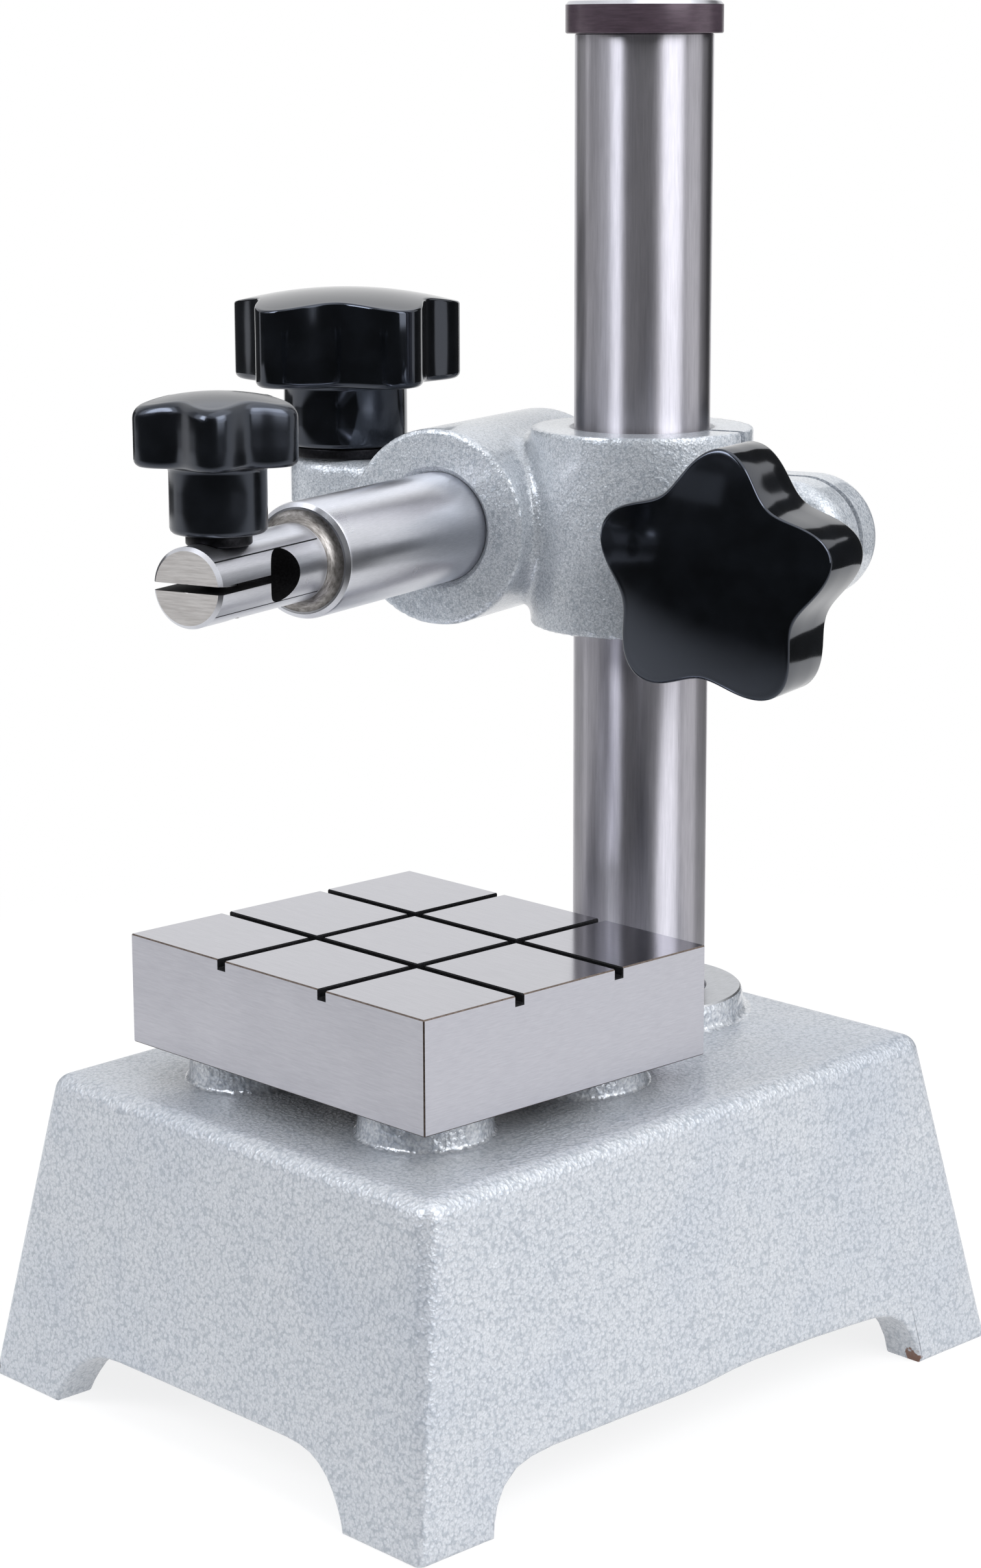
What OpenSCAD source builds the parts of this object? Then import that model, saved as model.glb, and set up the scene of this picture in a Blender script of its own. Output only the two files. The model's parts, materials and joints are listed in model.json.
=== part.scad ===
// Comparator stand: cast base, measuring table, column, clamp head and crossbar. Sizes are in millimetres.
// X runs to the right, Y to the back and Z up. The origin is on the floor, in the middle of the four feet.

/* [Base casting] */
// Width of the base at the floor
base_w = 102; // [90:0.5:140]
// Depth of the base at the floor
base_d = 128.6; // [118:0.2:170]
// Height of the base's top along its front edge
base_front_h = 50.5; // [46:0.1:60]
// Height of the base's top along its back edge
base_back_h = 53.1; // [48:0.1:60]
// How far each side wall leans in on its way up
side_lean = 7; // [2:0.1:9]
// How far the front wall leans in on its way up
front_lean = 8.5; // [2:0.1:10]
// How far the back wall leans in on its way up
back_lean = 10.7; // [2:0.1:12]
// Rounding of the top edges
top_edge_r = 3.4; // [1:0.1:5]
// Thickness of the side walls
base_wall = 7.5; // [5:0.1:9]
// Thickness of the top wall at the front
base_roof = 9; // [6:0.1:12]
// Height of the arches between the feet
arch_h = 10; // [6:0.1:14]
// Rounding of the arches' ends
arch_end_r = 11.6; // [10:0.1:16]
// Width of the front and back arches at the floor
front_arch_w = 68.6; // [50:0.2:76]
// Length of each front foot along the side
front_foot_l = 15; // [10:0.1:25]
// Length of each back foot along the side
back_foot_l = 17; // [10:0.1:25]

/* [Measuring table] */
// Width of the table
table_w = 68.2; // [60:0.1:76]
// Depth of the table
table_d = 59.5; // [52:0.1:64]
// Thickness of the table
table_t = 17.7; // [12:0.1:24]
// Height of the four machined pads that carry the table
pad_top = 56.1; // [55:0.1:64]
// How far the table's centre lies in front of the base's centre
table_forward = 17.24; // [14:0.02:20]
// Radius of each pad's machined face
pad_r = 10; // [8:0.1:12]
// Distance between pad centres, left to right
pad_pitch_x = 40; // [30:0.5:46]
// Distance between pad centres, front to back
pad_pitch_y = 33.2; // [28:0.2:38]
// Width of the table's grooves
groove_w = 1.5; // [1:0.1:3]
// Depth of the table's grooves
groove_depth = 1.5; // [1:0.1:3]
// Distance between the two grooves that run front to back
groove_pitch_x = 23.4; // [16:0.2:30]
// Distance between the two grooves that run left to right
groove_pitch_y = 21; // [16:0.2:28]
// Bevel along the table's edges
table_bevel = 0.4; // [0.2:0.1:1]
// Radius of the table screws
table_screw_r = 3; // [2:0.5:4]
// Depth of each table screw's thread in the table
table_thread_l = 10; // [8:0.5:11]

/* [Column] */
// Radius of the column
column_r = 11; // [9:0.5:12]
// Height of the column's top above the floor
column_top = 212.3; // [190:0.1:280]
// How far the column's axis lies behind the base's centre
column_back = 33.14; // [28:0.02:34]
// Depth of the column's seat in the base
column_seat_l = 26; // [20:0.5:30]
// Height of the machined face round the column's foot
boss_top = 56.8; // [55:0.1:64]
// Radius of that machined face
boss_r = 17.3; // [16:0.1:18]
// Radius of the stop cap
cap_r = 12.5; // [12:0.1:16]
// Thickness of the stop cap
cap_t = 5; // [3:0.1:8]
// Radius of the bolt that holds the column down
column_bolt_r = 5; // [4:0.5:6]
// Depth of the bolt's thread in the column
column_thread_l = 18; // [12:0.5:20]

/* [Clamp head] */
// Angle that the head is swung about the column
head_swing = 17.14; // [-40:0.01:40]
// Height of the crossbar's axis above the floor
bar_z = 134.2; // [125:0.1:150]
// Radius of the collar round the column
collar_r = 18; // [16:0.5:20]
// Height of the collar
collar_h = 32; // [26:0.5:40]
// Distance between the column's axis and the crossbar's
bar_offset = 28; // [27:0.1:34]
// Radius of the boss round the crossbar
bar_boss_r = 16.05; // [14:0.05:17]
// Length of the boss round the crossbar
bar_boss_l = 37.4; // [30:0.2:44]
// Width of the slits that let the collar, the boss and the bar close
slit_w = 1.5; // [1:0.1:2.5]
// Distance from the column's axis to its clamping screw
ear_offset = 28.7; // [27:0.1:34]
// Radius of the column clamp's ears
ear_r = 10; // [9:0.1:13]
// Thickness across both of the column clamp's ears
ear_pair_w = 17; // [14:0.1:22]
// How far the column clamp's screw lies below the crossbar's axis
ear_drop = 2.5; // [0:0.1:3]
// How far the middle of the column clamp's ears lies above their screw
ear_rise = 2.1; // [0:0.1:2.5]
// Distance from the crossbar's axis to its clamping screw
bar_ear_offset = 28.2; // [27:0.1:32]
// Radius of the bar clamp's ears
bar_ear_r = 9.5; // [8:0.1:12]
// Thickness across both of the bar clamp's ears
bar_ear_pair_w = 17; // [14:0.1:20]
// Running clearance round the column and the crossbar
slide_play = 0.05; // [0.02:0.01:0.1]

/* [Crossbar] */
// Radius of the crossbar
bar_r = 9; // [8:0.5:11]
// Distance from the column's axis to the shoulder in front
shoulder_reach = 59.6; // [50:0.1:80]
// Distance from the column's axis to the bar's back end
bar_back = 50.9; // [48:0.1:70]
// Radius of the bar's gauge tip
tip_r = 6; // [5.5:0.1:7]
// Length of the gauge tip
tip_l = 30.5; // [27:0.1:36]
// Rounding where the tip leaves the shoulder
tip_root_r = 2.2; // [1:0.1:3]
// Distance from the shoulder to the gauge bore
gauge_reach = 13.4; // [10:0.1:15]
// Radius of the gauge bore
gauge_r = 4; // [3:0.1:4.2]
// Distance from the shoulder to the tip's clamping screw
tip_screw_reach = 21.9; // [21:0.1:24]
// Height of the slit through the tip
tip_slit_w = 1.2; // [0.8:0.1:1.6]

/* [Star knobs] */
// Largest radius of the two large knobs
knob_r = 20; // [18:0.5:24]
// Radius of the large knobs' hub
knob_hub_r = 10.45; // [9:0.05:12]
// Height of the large knobs' hub
knob_hub_h = 10.7; // [8:0.1:15]
// Height of the large knobs' star at its rim
knob_star_h = 12.8; // [9:0.1:15]
// How far the large knobs' face rises to its middle
knob_dome = 2.8; // [1:0.1:4]
// Radius of the large knobs' studs
stud_r = 4; // [3:0.5:4.5]
// Turn of the column clamp's star from level
side_knob_turn = 14; // [-36:0.1:36]
// Turn of the bar clamp's star from the head's own X
top_knob_turn = 44.5; // [-60:0.1:60]
// Largest radius of the small knob
small_knob_r = 12.4; // [10:0.1:14]
// Radius of the small knob's hub
small_hub_r = 7.2; // [6:0.1:8]
// Height of the small knob's hub
small_hub_h = 10; // [8:0.1:12]
// Height of the small knob's star at its rim
small_star_h = 8.4; // [6:0.1:11]
// How far the small knob's face rises to its middle
small_dome = 2.1; // [1:0.1:3]
// Radius of the small knob's stud
small_stud_r = 2.5; // [2:0.5:3]
// Turn of the small knob's star from the head's own X
small_knob_turn = 12; // [-36:1:36]

/* [Hidden] */
$fn = 96;

// Clearances that pieces share
overrun = 1;
thread_play = 0.05;
free_hole_play = 0.4;
press_play = 0.02;

// Colours
enamel = "#bfc5ca";
steel = "#a9a9ab";
dark_steel = "#3d3035";
plastic = "#16171a";

// Base casting, worked out from its outline
half_w = base_w / 2;
half_d = base_d / 2;
top_half_w = half_w - side_lean;
top_front_y = -half_d + front_lean;
top_back_y = half_d - back_lean;
roof_z = base_front_h - base_roof;
top_rise = atan((base_back_h - base_front_h) / (top_back_y - top_front_y));
skirt_share = 1.2;
arch_run = sqrt(pow(arch_end_r, 2) - pow(arch_end_r - arch_h, 2));
pad_flare = 1.2;
boss_flare = 1.4;
column_boss_wall = 6;

// Columns, table and their fastenings
column_foot_z = boss_top - column_seat_l;
column_boss_z = column_foot_z - column_boss_wall;
column_tap_depth = column_thread_l + 3 * thread_play;
bolt_head_r = 9.2;
bolt_head_h = 6.4;
bolt_washer_r = 10.5;
bolt_washer_t = 2;
bolt_spring_r = 9.1;
bolt_spring_t = 2.2;
screw_head_r = 5;
screw_head_h = 6;
screw_socket_af = 5;
screw_socket_depth = 3;
screw_spring_r = 5.5;
screw_spring_t = 1.6;
spring_gap_turn = 12;
cap_bevel = 0.5;
cap_spigot_r = 6;
cap_spigot_l = 10;
column_edge_bevel = 0.6;

// Clamp head, measured from the column's axis
collar_z = bar_z - collar_h / 2;
ear_z = bar_z - ear_drop;
ear_middle_z = ear_z + ear_rise;
bore_bevel = 0.7;
side_ear_edge_r = 3.4;
ear_edge_r = 2.6;
ear_half_w = ear_pair_w / 2;
bar_ear_half_w = bar_ear_pair_w / 2;
bar_ear_x = -bar_offset - bar_ear_offset;
boss_edge_r = 1.5;
valley_r = 3;

// Crossbar and its stop
bar_shoulder_bevel = 0.8;
bar_end_bevel = 0.6;
bar_x = -bar_offset;
tip_end = shoulder_reach + tip_l;
spot_depth = 0.6;
spot_r = 5.1;
stop_washer_r = 12;
stop_washer_t = 3;
stop_screw_r = 3;
stop_thread_l = 12;
stop_head_r = 5;
stop_head_h = 3.2;
stop_socket_af = 4;
stop_socket_depth = 2;

// Knobs and washers
large_washer_t = 1.8;
large_washer_r = 9.6;
small_washer_t = 1.7;
small_washer_r = 4.9;
lobe_share = 0.325;
lobe_valley_share = 0.75;
hollow_share = 0.385;
rim_round_share = 0.06;
stud_grip_share = 0.6;
stud_end_gap = 1;

// Places everything in it on the clamp head, which is swung about the column
module on_head() {
    translate([0, column_back, 0]) rotate([0, 0, head_swing]) children();
}

// Stands what is drawn along Z on the column clamp's axis, pointing forward
module on_side_axis() {
    on_head() translate([ear_offset, 0, ear_z]) rotate([90, 0, 0]) children();
}

// Stands what is drawn along Z on the crossbar's axis, pointing forward
module on_bar_axis() {
    on_head() translate([bar_x, 0, bar_z]) rotate([90, 0, 0]) children();
}

// Repeats a piece at each of the four table pads
module at_pads() {
    for (x = [-1, 1], y = [-1, 1]) {
        $pad_y = -table_forward + y * pad_pitch_y / 2;
        translate([x * pad_pitch_x / 2, $pad_y, 0]) children();
    }
}

// Height of the base's top at a place along its depth
function top_z(y) = base_front_h
    + (base_back_h - base_front_h) * (y - top_front_y) / (top_back_y - top_front_y);

// Round boss with a hollow flare where it leaves the casting
module flared_boss(r, flare, z0, z_flare, z1) {
    rotate_extrude() difference() {
        polygon([
            [0, z0], [r + flare, z0], [r + flare, z_flare], [r, z_flare + flare], [r, z1], [0, z1]
        ]);
        translate([r + flare, z_flare + flare]) circle(r = flare);
    }
}

// Outline of an arch with round ends, open at the floor
module arch_outline(x0, x1) {
    intersection() {
        translate([x0, -overrun]) square([x1 - x0, arch_h + overrun]);
        union() {
            translate([x0 + arch_run, -overrun]) square([x1 - x0 - 2 * arch_run, arch_h + overrun]);
            for (x = [x0 + arch_run, x1 - arch_run])
                translate([x, arch_h - arch_end_r]) circle(r = arch_end_r);
        }
    }
}

// Unit vector from one point to another
function towards(from, to) = (to - from) / norm(to - from);

// Middle of the rounding of radius r that fits a corner between its two neighbours
function rounding_centre(corner, before, after, r) =
    let (u = towards(corner, before), v = towards(corner, after), half = acos(u * v) / 2)
    corner + (u + v) / norm(u + v) * r / sin(half);

// Where that rounding meets the side that runs to a neighbour
function rounding_end(corner, neighbour, other, r) =
    let (u = towards(corner, neighbour), v = towards(corner, other), half = acos(u * v) / 2)
    corner + u * r / tan(half);

// Wall outline standing on the floor between foot0 and foot1, with rounded top corners
module leaning_outline(foot0, foot1, top0, top1, r) {
    c0 = rounding_centre(top0, foot0, top1, r);
    c1 = rounding_centre(top1, foot1, top0, r);
    polygon([
        foot0, foot1, rounding_end(top1, foot1, top0, r), c1, rounding_end(top1, top0, foot1, r),
        rounding_end(top0, top1, foot0, r), c0, rounding_end(top0, foot0, top1, r)
    ]);
    for (c = [c0, c1]) translate(c) circle(r = r);
}

// Tapered outer body of the base, with rounded top edges. Its top rises towards the back
module base_body() {
    skirt_x = top_half_w + side_lean * skirt_share;
    skirt_z = -top_z(0) * skirt_share;
    intersection() {
        rotate([90, 0, 90]) linear_extrude(height = base_w + 2 * overrun, center = true)
            leaning_outline([-half_d, 0], [half_d, 0], [top_front_y, base_front_h], [top_back_y, base_back_h],
                top_edge_r);
        translate([0, 0, top_z(0)]) rotate([90 + top_rise, 0, 0])
            linear_extrude(height = base_d * skirt_share, center = true)
                leaning_outline([-skirt_x, skirt_z], [skirt_x, skirt_z], [-top_half_w, 0], [top_half_w, 0],
                    top_edge_r);
    }
}

// Section of the hollow, from below the floor to the roof
module hollow_outline(foot0, foot1, top0, top1) {
    polygon([[foot0, -overrun], [foot0, 0], [top0, roof_z], [top1, roof_z], [foot1, 0], [foot1, -overrun]]);
}

// Hollow under the base
module base_hollow() {
    intersection() {
        rotate([90, 0, 90]) linear_extrude(height = base_w, center = true)
            hollow_outline(base_wall - half_d, half_d - base_wall, top_front_y + base_wall, top_back_y - base_wall);
        rotate([90, 0, 0]) linear_extrude(height = base_d, center = true)
            hollow_outline(base_wall - half_w, half_w - base_wall, base_wall - top_half_w, top_half_w - base_wall);
    }
}

// Hollow body of the base, with the front and back arches cut through it
module base_shell() {
    difference() {
        base_body();
        base_hollow();
        rotate([90, 0, 0]) linear_extrude(height = base_d + 2 * overrun, center = true)
            arch_outline(-front_arch_w / 2, front_arch_w / 2);
    }
}

module base_casting() color(enamel) {
    difference() {
        union() {
            difference() {
                base_shell();
                rotate([90, 0, 90]) linear_extrude(height = base_w + 2 * overrun, center = true)
                    arch_outline(front_foot_l - half_d, half_d - back_foot_l);
            }
            at_pads() flared_boss(pad_r, pad_flare, roof_z + overrun, top_z($pad_y), pad_top);
            translate([0, column_back, 0])
                flared_boss(boss_r, boss_flare, column_boss_z, top_z(column_back), boss_top);
        }
        at_pads() cylinder(r = table_screw_r + free_hole_play, h = pad_top + overrun);
        at_pads() translate([0, 0, -overrun]) cylinder(r = screw_spring_r + free_hole_play, h = roof_z + overrun);
        translate([0, column_back, column_foot_z]) cylinder(r = column_r + slide_play, h = column_seat_l + overrun);
        translate([0, column_back, 0]) cylinder(r = column_bolt_r + free_hole_play, h = boss_top);
        translate([0, column_back, -overrun]) cylinder(r = bolt_washer_r + free_hole_play, h = column_boss_z + overrun);
    }
}

module measuring_table() color(steel) {
    translate([0, -table_forward, pad_top]) difference() {
        bevelled_block(table_w, table_d, table_t, table_bevel);
        for (x = [-1, 1])
            translate([x * groove_pitch_x / 2, 0, table_t])
                cube([groove_w, table_d + overrun, 2 * groove_depth], center = true);
        for (y = [-1, 1])
            translate([0, y * groove_pitch_y / 2, table_t])
                cube([table_w + overrun, groove_w, 2 * groove_depth], center = true);
        for (x = [-1, 1], y = [-1, 1])
            translate([x * pad_pitch_x / 2, y * pad_pitch_y / 2, -overrun])
                cylinder(r = table_screw_r + thread_play, h = table_thread_l + 2 * overrun);
    }
}

// Block standing on Z 0 with every edge bevelled
module bevelled_block(w, d, t, bevel) {
    intersection() {
        translate([0, 0, t / 2]) rotate([90, 0, 0])
            linear_extrude(height = d, center = true) bevelled_outline(w, t, bevel);
        translate([0, 0, t / 2]) rotate([90, 0, 90])
            linear_extrude(height = w, center = true) bevelled_outline(d, t, bevel);
        linear_extrude(height = t) bevelled_outline(w, d, bevel);
    }
}

// Rectangle with its four corners cut off
module bevelled_outline(w, d, bevel) {
    polygon([
        [bevel - w / 2, -d / 2], [w / 2 - bevel, -d / 2], [w / 2, bevel - d / 2], [w / 2, d / 2 - bevel],
        [w / 2 - bevel, d / 2], [bevel - w / 2, d / 2], [-w / 2, d / 2 - bevel], [-w / 2, bevel - d / 2]
    ]);
}

// Split spring washer standing on Z 0
module spring_washer(outer_r, inner_r, t) {
    rotate_extrude(angle = 360 - spring_gap_turn) translate([inner_r, 0]) square([outer_r - inner_r, t]);
}

// Six-sided bar standing on Z 0, measured across its flats
module hexagon_bar(across_flats, h) {
    cylinder(r = across_flats / sqrt(3), h = h, $fn = 6);
}

module table_spring_washers() color(steel) {
    at_pads() translate([0, 0, roof_z - screw_spring_t])
        spring_washer(screw_spring_r, table_screw_r + free_hole_play / 2, screw_spring_t);
}

module table_screws() color(dark_steel) {
    at_pads() difference() {
        union() {
            translate([0, 0, roof_z - screw_spring_t - screw_head_h]) cylinder(r = screw_head_r, h = screw_head_h);
            translate([0, 0, roof_z - screw_spring_t - screw_head_h])
                cylinder(r = table_screw_r, h = pad_top + table_thread_l - roof_z + screw_spring_t + screw_head_h);
        }
        translate([0, 0, roof_z - screw_spring_t - screw_head_h - overrun])
            hexagon_bar(screw_socket_af, screw_socket_depth + overrun);
    }
}

module column() color(steel) {
    translate([0, column_back, 0]) difference() {
        rotate_extrude() polygon([
            [0, column_foot_z], [column_r - column_edge_bevel, column_foot_z],
            [column_r, column_foot_z + column_edge_bevel], [column_r, column_top], [0, column_top]
        ]);
        translate([0, 0, column_foot_z - overrun])
            cylinder(r = column_bolt_r + thread_play, h = column_tap_depth + overrun);
        translate([0, 0, column_top - cap_spigot_l])
            cylinder(r = cap_spigot_r + press_play, h = cap_spigot_l + overrun);
    }
}

module column_cap() color(dark_steel) {
    translate([0, column_back, column_top]) rotate_extrude() polygon([
        [0, press_play - cap_spigot_l], [cap_spigot_r, press_play - cap_spigot_l], [cap_spigot_r, 0], [cap_r, 0],
        [cap_r, cap_t - cap_bevel], [cap_r - cap_bevel, cap_t], [0, cap_t]
    ]);
}

module column_washer() color(steel) {
    translate([0, column_back, column_boss_z - bolt_washer_t]) difference() {
        cylinder(r = bolt_washer_r, h = bolt_washer_t);
        translate([0, 0, -overrun]) cylinder(r = column_bolt_r + free_hole_play, h = bolt_washer_t + 2 * overrun);
    }
}

module column_spring_washer() color(steel) {
    translate([0, column_back, column_boss_z - bolt_washer_t - bolt_spring_t])
        spring_washer(bolt_spring_r, column_bolt_r + free_hole_play / 2, bolt_spring_t);
}

module column_bolt() color(dark_steel) {
    head_top = column_boss_z - bolt_washer_t - bolt_spring_t;
    translate([0, column_back, 0]) {
        intersection() {
            translate([0, 0, head_top - bolt_head_h]) hexagon_bar(bolt_head_r * sqrt(3), bolt_head_h);
            translate([0, 0, head_top - bolt_head_h]) cylinder(r1 = bolt_head_r - cap_bevel, r2 = bolt_head_r
                + bolt_head_h, h = bolt_head_h);
        }
        translate([0, 0, head_top - cap_bevel])
            cylinder(r = column_bolt_r, h = column_foot_z + column_thread_l - head_top + cap_bevel);
    }
}

// Round ear with rounded rims, standing from z0 to z1
module ear(r, z0, z1, edge) {
    rotate_extrude() {
        translate([0, z0]) square([r - edge, z1 - z0]);
        translate([0, z0 + edge]) square([r, z1 - z0 - 2 * edge]);
        for (z = [z0 + edge, z1 - edge]) translate([r - edge, z]) circle(r = edge);
    }
}

// Web that carries a pair of ears, as a wedge between two widths
module ear_web(x0, half0, x1, half1, t) {
    linear_extrude(height = t, center = true)
        polygon([[x0, -half0], [x1, -half1], [x1, half1], [x0, half0]]);
}

// Head in its own place: collar on Z, boss along Y and the ears
module head_body() {
    translate([0, 0, collar_z]) cylinder(r = collar_r, h = collar_h);
    translate([bar_x, 0, bar_z]) rotate([90, 0, 0])
        ear(bar_boss_r, -bar_boss_l / 2, bar_boss_l / 2, boss_edge_r);
    translate([ear_offset, 0, ear_middle_z]) rotate([90, 0, 0])
        ear(ear_r, -ear_half_w, ear_half_w, side_ear_edge_r);
    translate([0, 0, ear_middle_z]) rotate([90, 0, 0])
        ear_web(column_r, ear_r, ear_offset, ear_r, ear_pair_w - 2 * side_ear_edge_r);
    translate([bar_ear_x, 0, bar_z])
        ear(bar_ear_r, -bar_ear_half_w, bar_ear_half_w, ear_edge_r);
    translate([0, 0, bar_z])
        ear_web(bar_ear_x, bar_ear_r, bar_x, bar_ear_r, bar_ear_pair_w - 2 * ear_edge_r);
    valley_web();
}

// Filling of the valleys between the boss and the collar, above and below the crossbar
module valley_web() {
    translate([0, 0, bar_z]) rotate([90, 0, 0])
        linear_extrude(height = bar_boss_l - 2 * ear_edge_r - 2 * valley_r, center = true) difference() {
            translate([bar_x, -collar_h / 2]) square([bar_offset - column_r, collar_h]);
            for (s = [-1, 1])
                translate([bar_x + bar_boss_r, s * (collar_h / 2 + valley_r)]) circle(r = 3 * valley_r);
        }
}

module clamp_head() color(enamel) {
    on_head() difference() {
        head_body();
        translate([0, 0, collar_z - overrun]) cylinder(r = column_r + slide_play, h = collar_h + 2 * overrun);
        translate([0, 0, collar_z + collar_h - bore_bevel])
            cylinder(r1 = column_r, r2 = column_r + bore_bevel + overrun, h = bore_bevel + overrun);
        translate([0, -slit_w / 2, collar_z - overrun])
            cube([ear_offset + ear_r + overrun, slit_w, collar_h + 2 * overrun]);
        translate([bar_x, bar_boss_l / 2 + overrun, bar_z]) rotate([90, 0, 0])
            cylinder(r = bar_r + slide_play, h = bar_boss_l + 2 * overrun);
        for (s = [-1, 1])
            translate([bar_x, s * (bar_boss_l / 2 - bore_bevel), bar_z]) rotate([-s * 90, 0, 0])
                cylinder(r1 = bar_r, r2 = bar_r + bore_bevel + overrun, h = bore_bevel + overrun);
        translate([bar_ear_x - bar_ear_r - overrun, -bar_boss_l / 2 - overrun, bar_z - slit_w / 2])
            cube([bar_ear_offset + bar_ear_r + overrun, bar_boss_l + 2 * overrun, slit_w]);
        translate([ear_offset, 0, ear_z]) rotate([90, 0, 0])
            ear_holes(ear_half_w);
        translate([bar_ear_x, 0, bar_z]) ear_holes(bar_ear_half_w);
    }
}

// Free hole through the near ear and threaded hole through the far one, on Z
module ear_holes(half_w) {
    cylinder(r = stud_r + free_hole_play, h = half_w + overrun);
    translate([0, 0, -half_w - overrun]) cylinder(r = stud_r + thread_play, h = half_w + 2 * overrun);
}

module crossbar() color(steel) {
    on_bar_axis() difference() {
        rotate_extrude() difference() {
            polygon([
                [0, -bar_back], [bar_r - bar_end_bevel, -bar_back], [bar_r, bar_end_bevel - bar_back],
                [bar_r, shoulder_reach - bar_shoulder_bevel], [bar_r - bar_shoulder_bevel, shoulder_reach],
                [tip_r + tip_root_r, shoulder_reach], [tip_r, shoulder_reach + tip_root_r],
                [tip_r, tip_end - bar_end_bevel], [tip_r - bar_end_bevel, tip_end], [0, tip_end]
            ]);
            translate([tip_r + tip_root_r, shoulder_reach + tip_root_r]) circle(r = tip_root_r);
        }
        translate([0, 0, shoulder_reach + gauge_reach]) rotate([0, 90, 0])
            cylinder(r = gauge_r, h = 2 * tip_r + 2 * overrun, center = true);
        translate([-tip_r - overrun, -tip_slit_w / 2, shoulder_reach + gauge_reach])
            cube([2 * tip_r + 2 * overrun, tip_slit_w, tip_l]);
        translate([0, 0, shoulder_reach + tip_screw_reach]) rotate([-90, 0, 0]) {
            cylinder(r = small_stud_r + free_hole_play, h = tip_r + overrun);
            translate([0, 0, tip_r - spot_depth]) cylinder(r = spot_r, h = spot_depth + overrun);
            translate([0, 0, -tip_r - overrun]) cylinder(r = small_stud_r + thread_play, h = tip_r + 2 * overrun);
        }
        translate([0, 0, -bar_back - overrun])
            cylinder(r = stop_screw_r + thread_play, h = stop_thread_l + 2 * overrun);
    }
}

module bar_stop_washer() color(steel) {
    on_bar_axis() translate([0, 0, -bar_back - stop_washer_t]) difference() {
        cylinder(r = stop_washer_r, h = stop_washer_t);
        translate([0, 0, -overrun]) cylinder(r = stop_screw_r + free_hole_play, h = stop_washer_t + 2 * overrun);
    }
}

module bar_stop_screw() color(dark_steel) {
    on_bar_axis() translate([0, 0, -bar_back - stop_washer_t]) difference() {
        union() {
            cylinder(r = stop_screw_r, h = stop_thread_l + stop_washer_t);
            translate([0, 0, -stop_head_h]) cylinder(r = stop_head_r, h = stop_head_h);
        }
        translate([0, 0, -stop_head_h - overrun]) hexagon_bar(stop_socket_af, stop_socket_depth + overrun);
    }
}

// Five-lobed outline of a star knob: round lobes joined by round hollows
module star_outline(r) {
    lobe_r = lobe_share * r;
    hollow_r = hollow_share * r;
    lobe_at = r - lobe_r;
    hollow_at = lobe_valley_share * r + hollow_r;
    difference() {
        polygon([for (i = [0:4], k = [0, 1])
            let (a = 72 * i + 36 * k, d = k == 0 ? lobe_at : hollow_at) [d * cos(a), d * sin(a)]]);
        for (i = [0:4]) rotate(72 * i + 36) translate([hollow_at, 0]) circle(r = hollow_r);
    }
    for (i = [0:4]) rotate(72 * i) translate([lobe_at, 0]) circle(r = lobe_r);
}

// Star knob standing on Z 0: hub, star with a domed face, and a blind hole for its stud
module star_knob(r, hub_r, hub_h, star_h, dome, hole_r) {
    dome_r = (r * r + dome * dome) / (2 * dome);
    rim_round = rim_round_share * r;
    difference() {
        union() {
            cylinder(r = hub_r, h = hub_h + rim_round);
            intersection() {
                translate([0, 0, hub_h]) linear_extrude(height = star_h + dome) star_outline(r);
                translate([0, 0, hub_h + star_h + dome - dome_r]) sphere(r = dome_r);
                translate([0, 0, hub_h]) cylinder(r1 = r - rim_round, r2 = r + star_h + dome - rim_round,
                    h = star_h + dome);
            }
        }
        translate([0, 0, -overrun]) cylinder(r = hole_r + press_play, h = stud_grip_share * (hub_h + star_h)
            + overrun + press_play);
    }
}

// Stud from a grip inside the knob down to its end in the far ear, on Z
module stud(r, z_end, z_grip) {
    translate([0, 0, z_end]) cylinder(r = r, h = z_grip - z_end);
}

// Flat ring standing on Z 0
module ring(outer_r, inner_r, t) {
    difference() {
        cylinder(r = outer_r, h = t);
        translate([0, 0, -overrun]) cylinder(r = inner_r, h = t + 2 * overrun);
    }
}

module large_knob() {
    star_knob(knob_r, knob_hub_r, knob_hub_h, knob_star_h, knob_dome, stud_r);
}

module column_clamp_knob() color(plastic) {
    on_side_axis() translate([0, 0, ear_half_w + large_washer_t]) rotate(side_knob_turn) large_knob();
}

module column_clamp_stud() color(steel) {
    on_side_axis() stud(stud_r, stud_end_gap - ear_half_w,
        ear_half_w + large_washer_t + stud_grip_share * (knob_hub_h + knob_star_h));
}

module column_clamp_washer() color(dark_steel) {
    on_side_axis() translate([0, 0, ear_half_w]) ring(large_washer_r, stud_r + free_hole_play, large_washer_t);
}

// Stands what is drawn along Z on the bar clamp's axis, pointing up
module on_top_axis() {
    on_head() translate([bar_ear_x, 0, bar_z]) children();
}

module bar_clamp_knob() color(plastic) {
    on_top_axis() translate([0, 0, bar_ear_half_w + large_washer_t]) rotate(top_knob_turn) large_knob();
}

module bar_clamp_stud() color(steel) {
    on_top_axis() stud(stud_r, stud_end_gap - bar_ear_half_w,
        bar_ear_half_w + large_washer_t + stud_grip_share * (knob_hub_h + knob_star_h));
}

module bar_clamp_washer() color(dark_steel) {
    on_top_axis() translate([0, 0, bar_ear_half_w]) ring(large_washer_r, stud_r + free_hole_play, large_washer_t);
}

// Stands what is drawn along Z on the tip clamp's axis, pointing up from the spot face
module on_tip_axis() {
    on_head() translate([bar_x, -shoulder_reach - tip_screw_reach, bar_z + tip_r - spot_depth]) children();
}

module tip_clamp_knob() color(plastic) {
    on_tip_axis() translate([0, 0, small_washer_t]) rotate(small_knob_turn)
        star_knob(small_knob_r, small_hub_r, small_hub_h, small_star_h, small_dome, small_stud_r);
}

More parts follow.
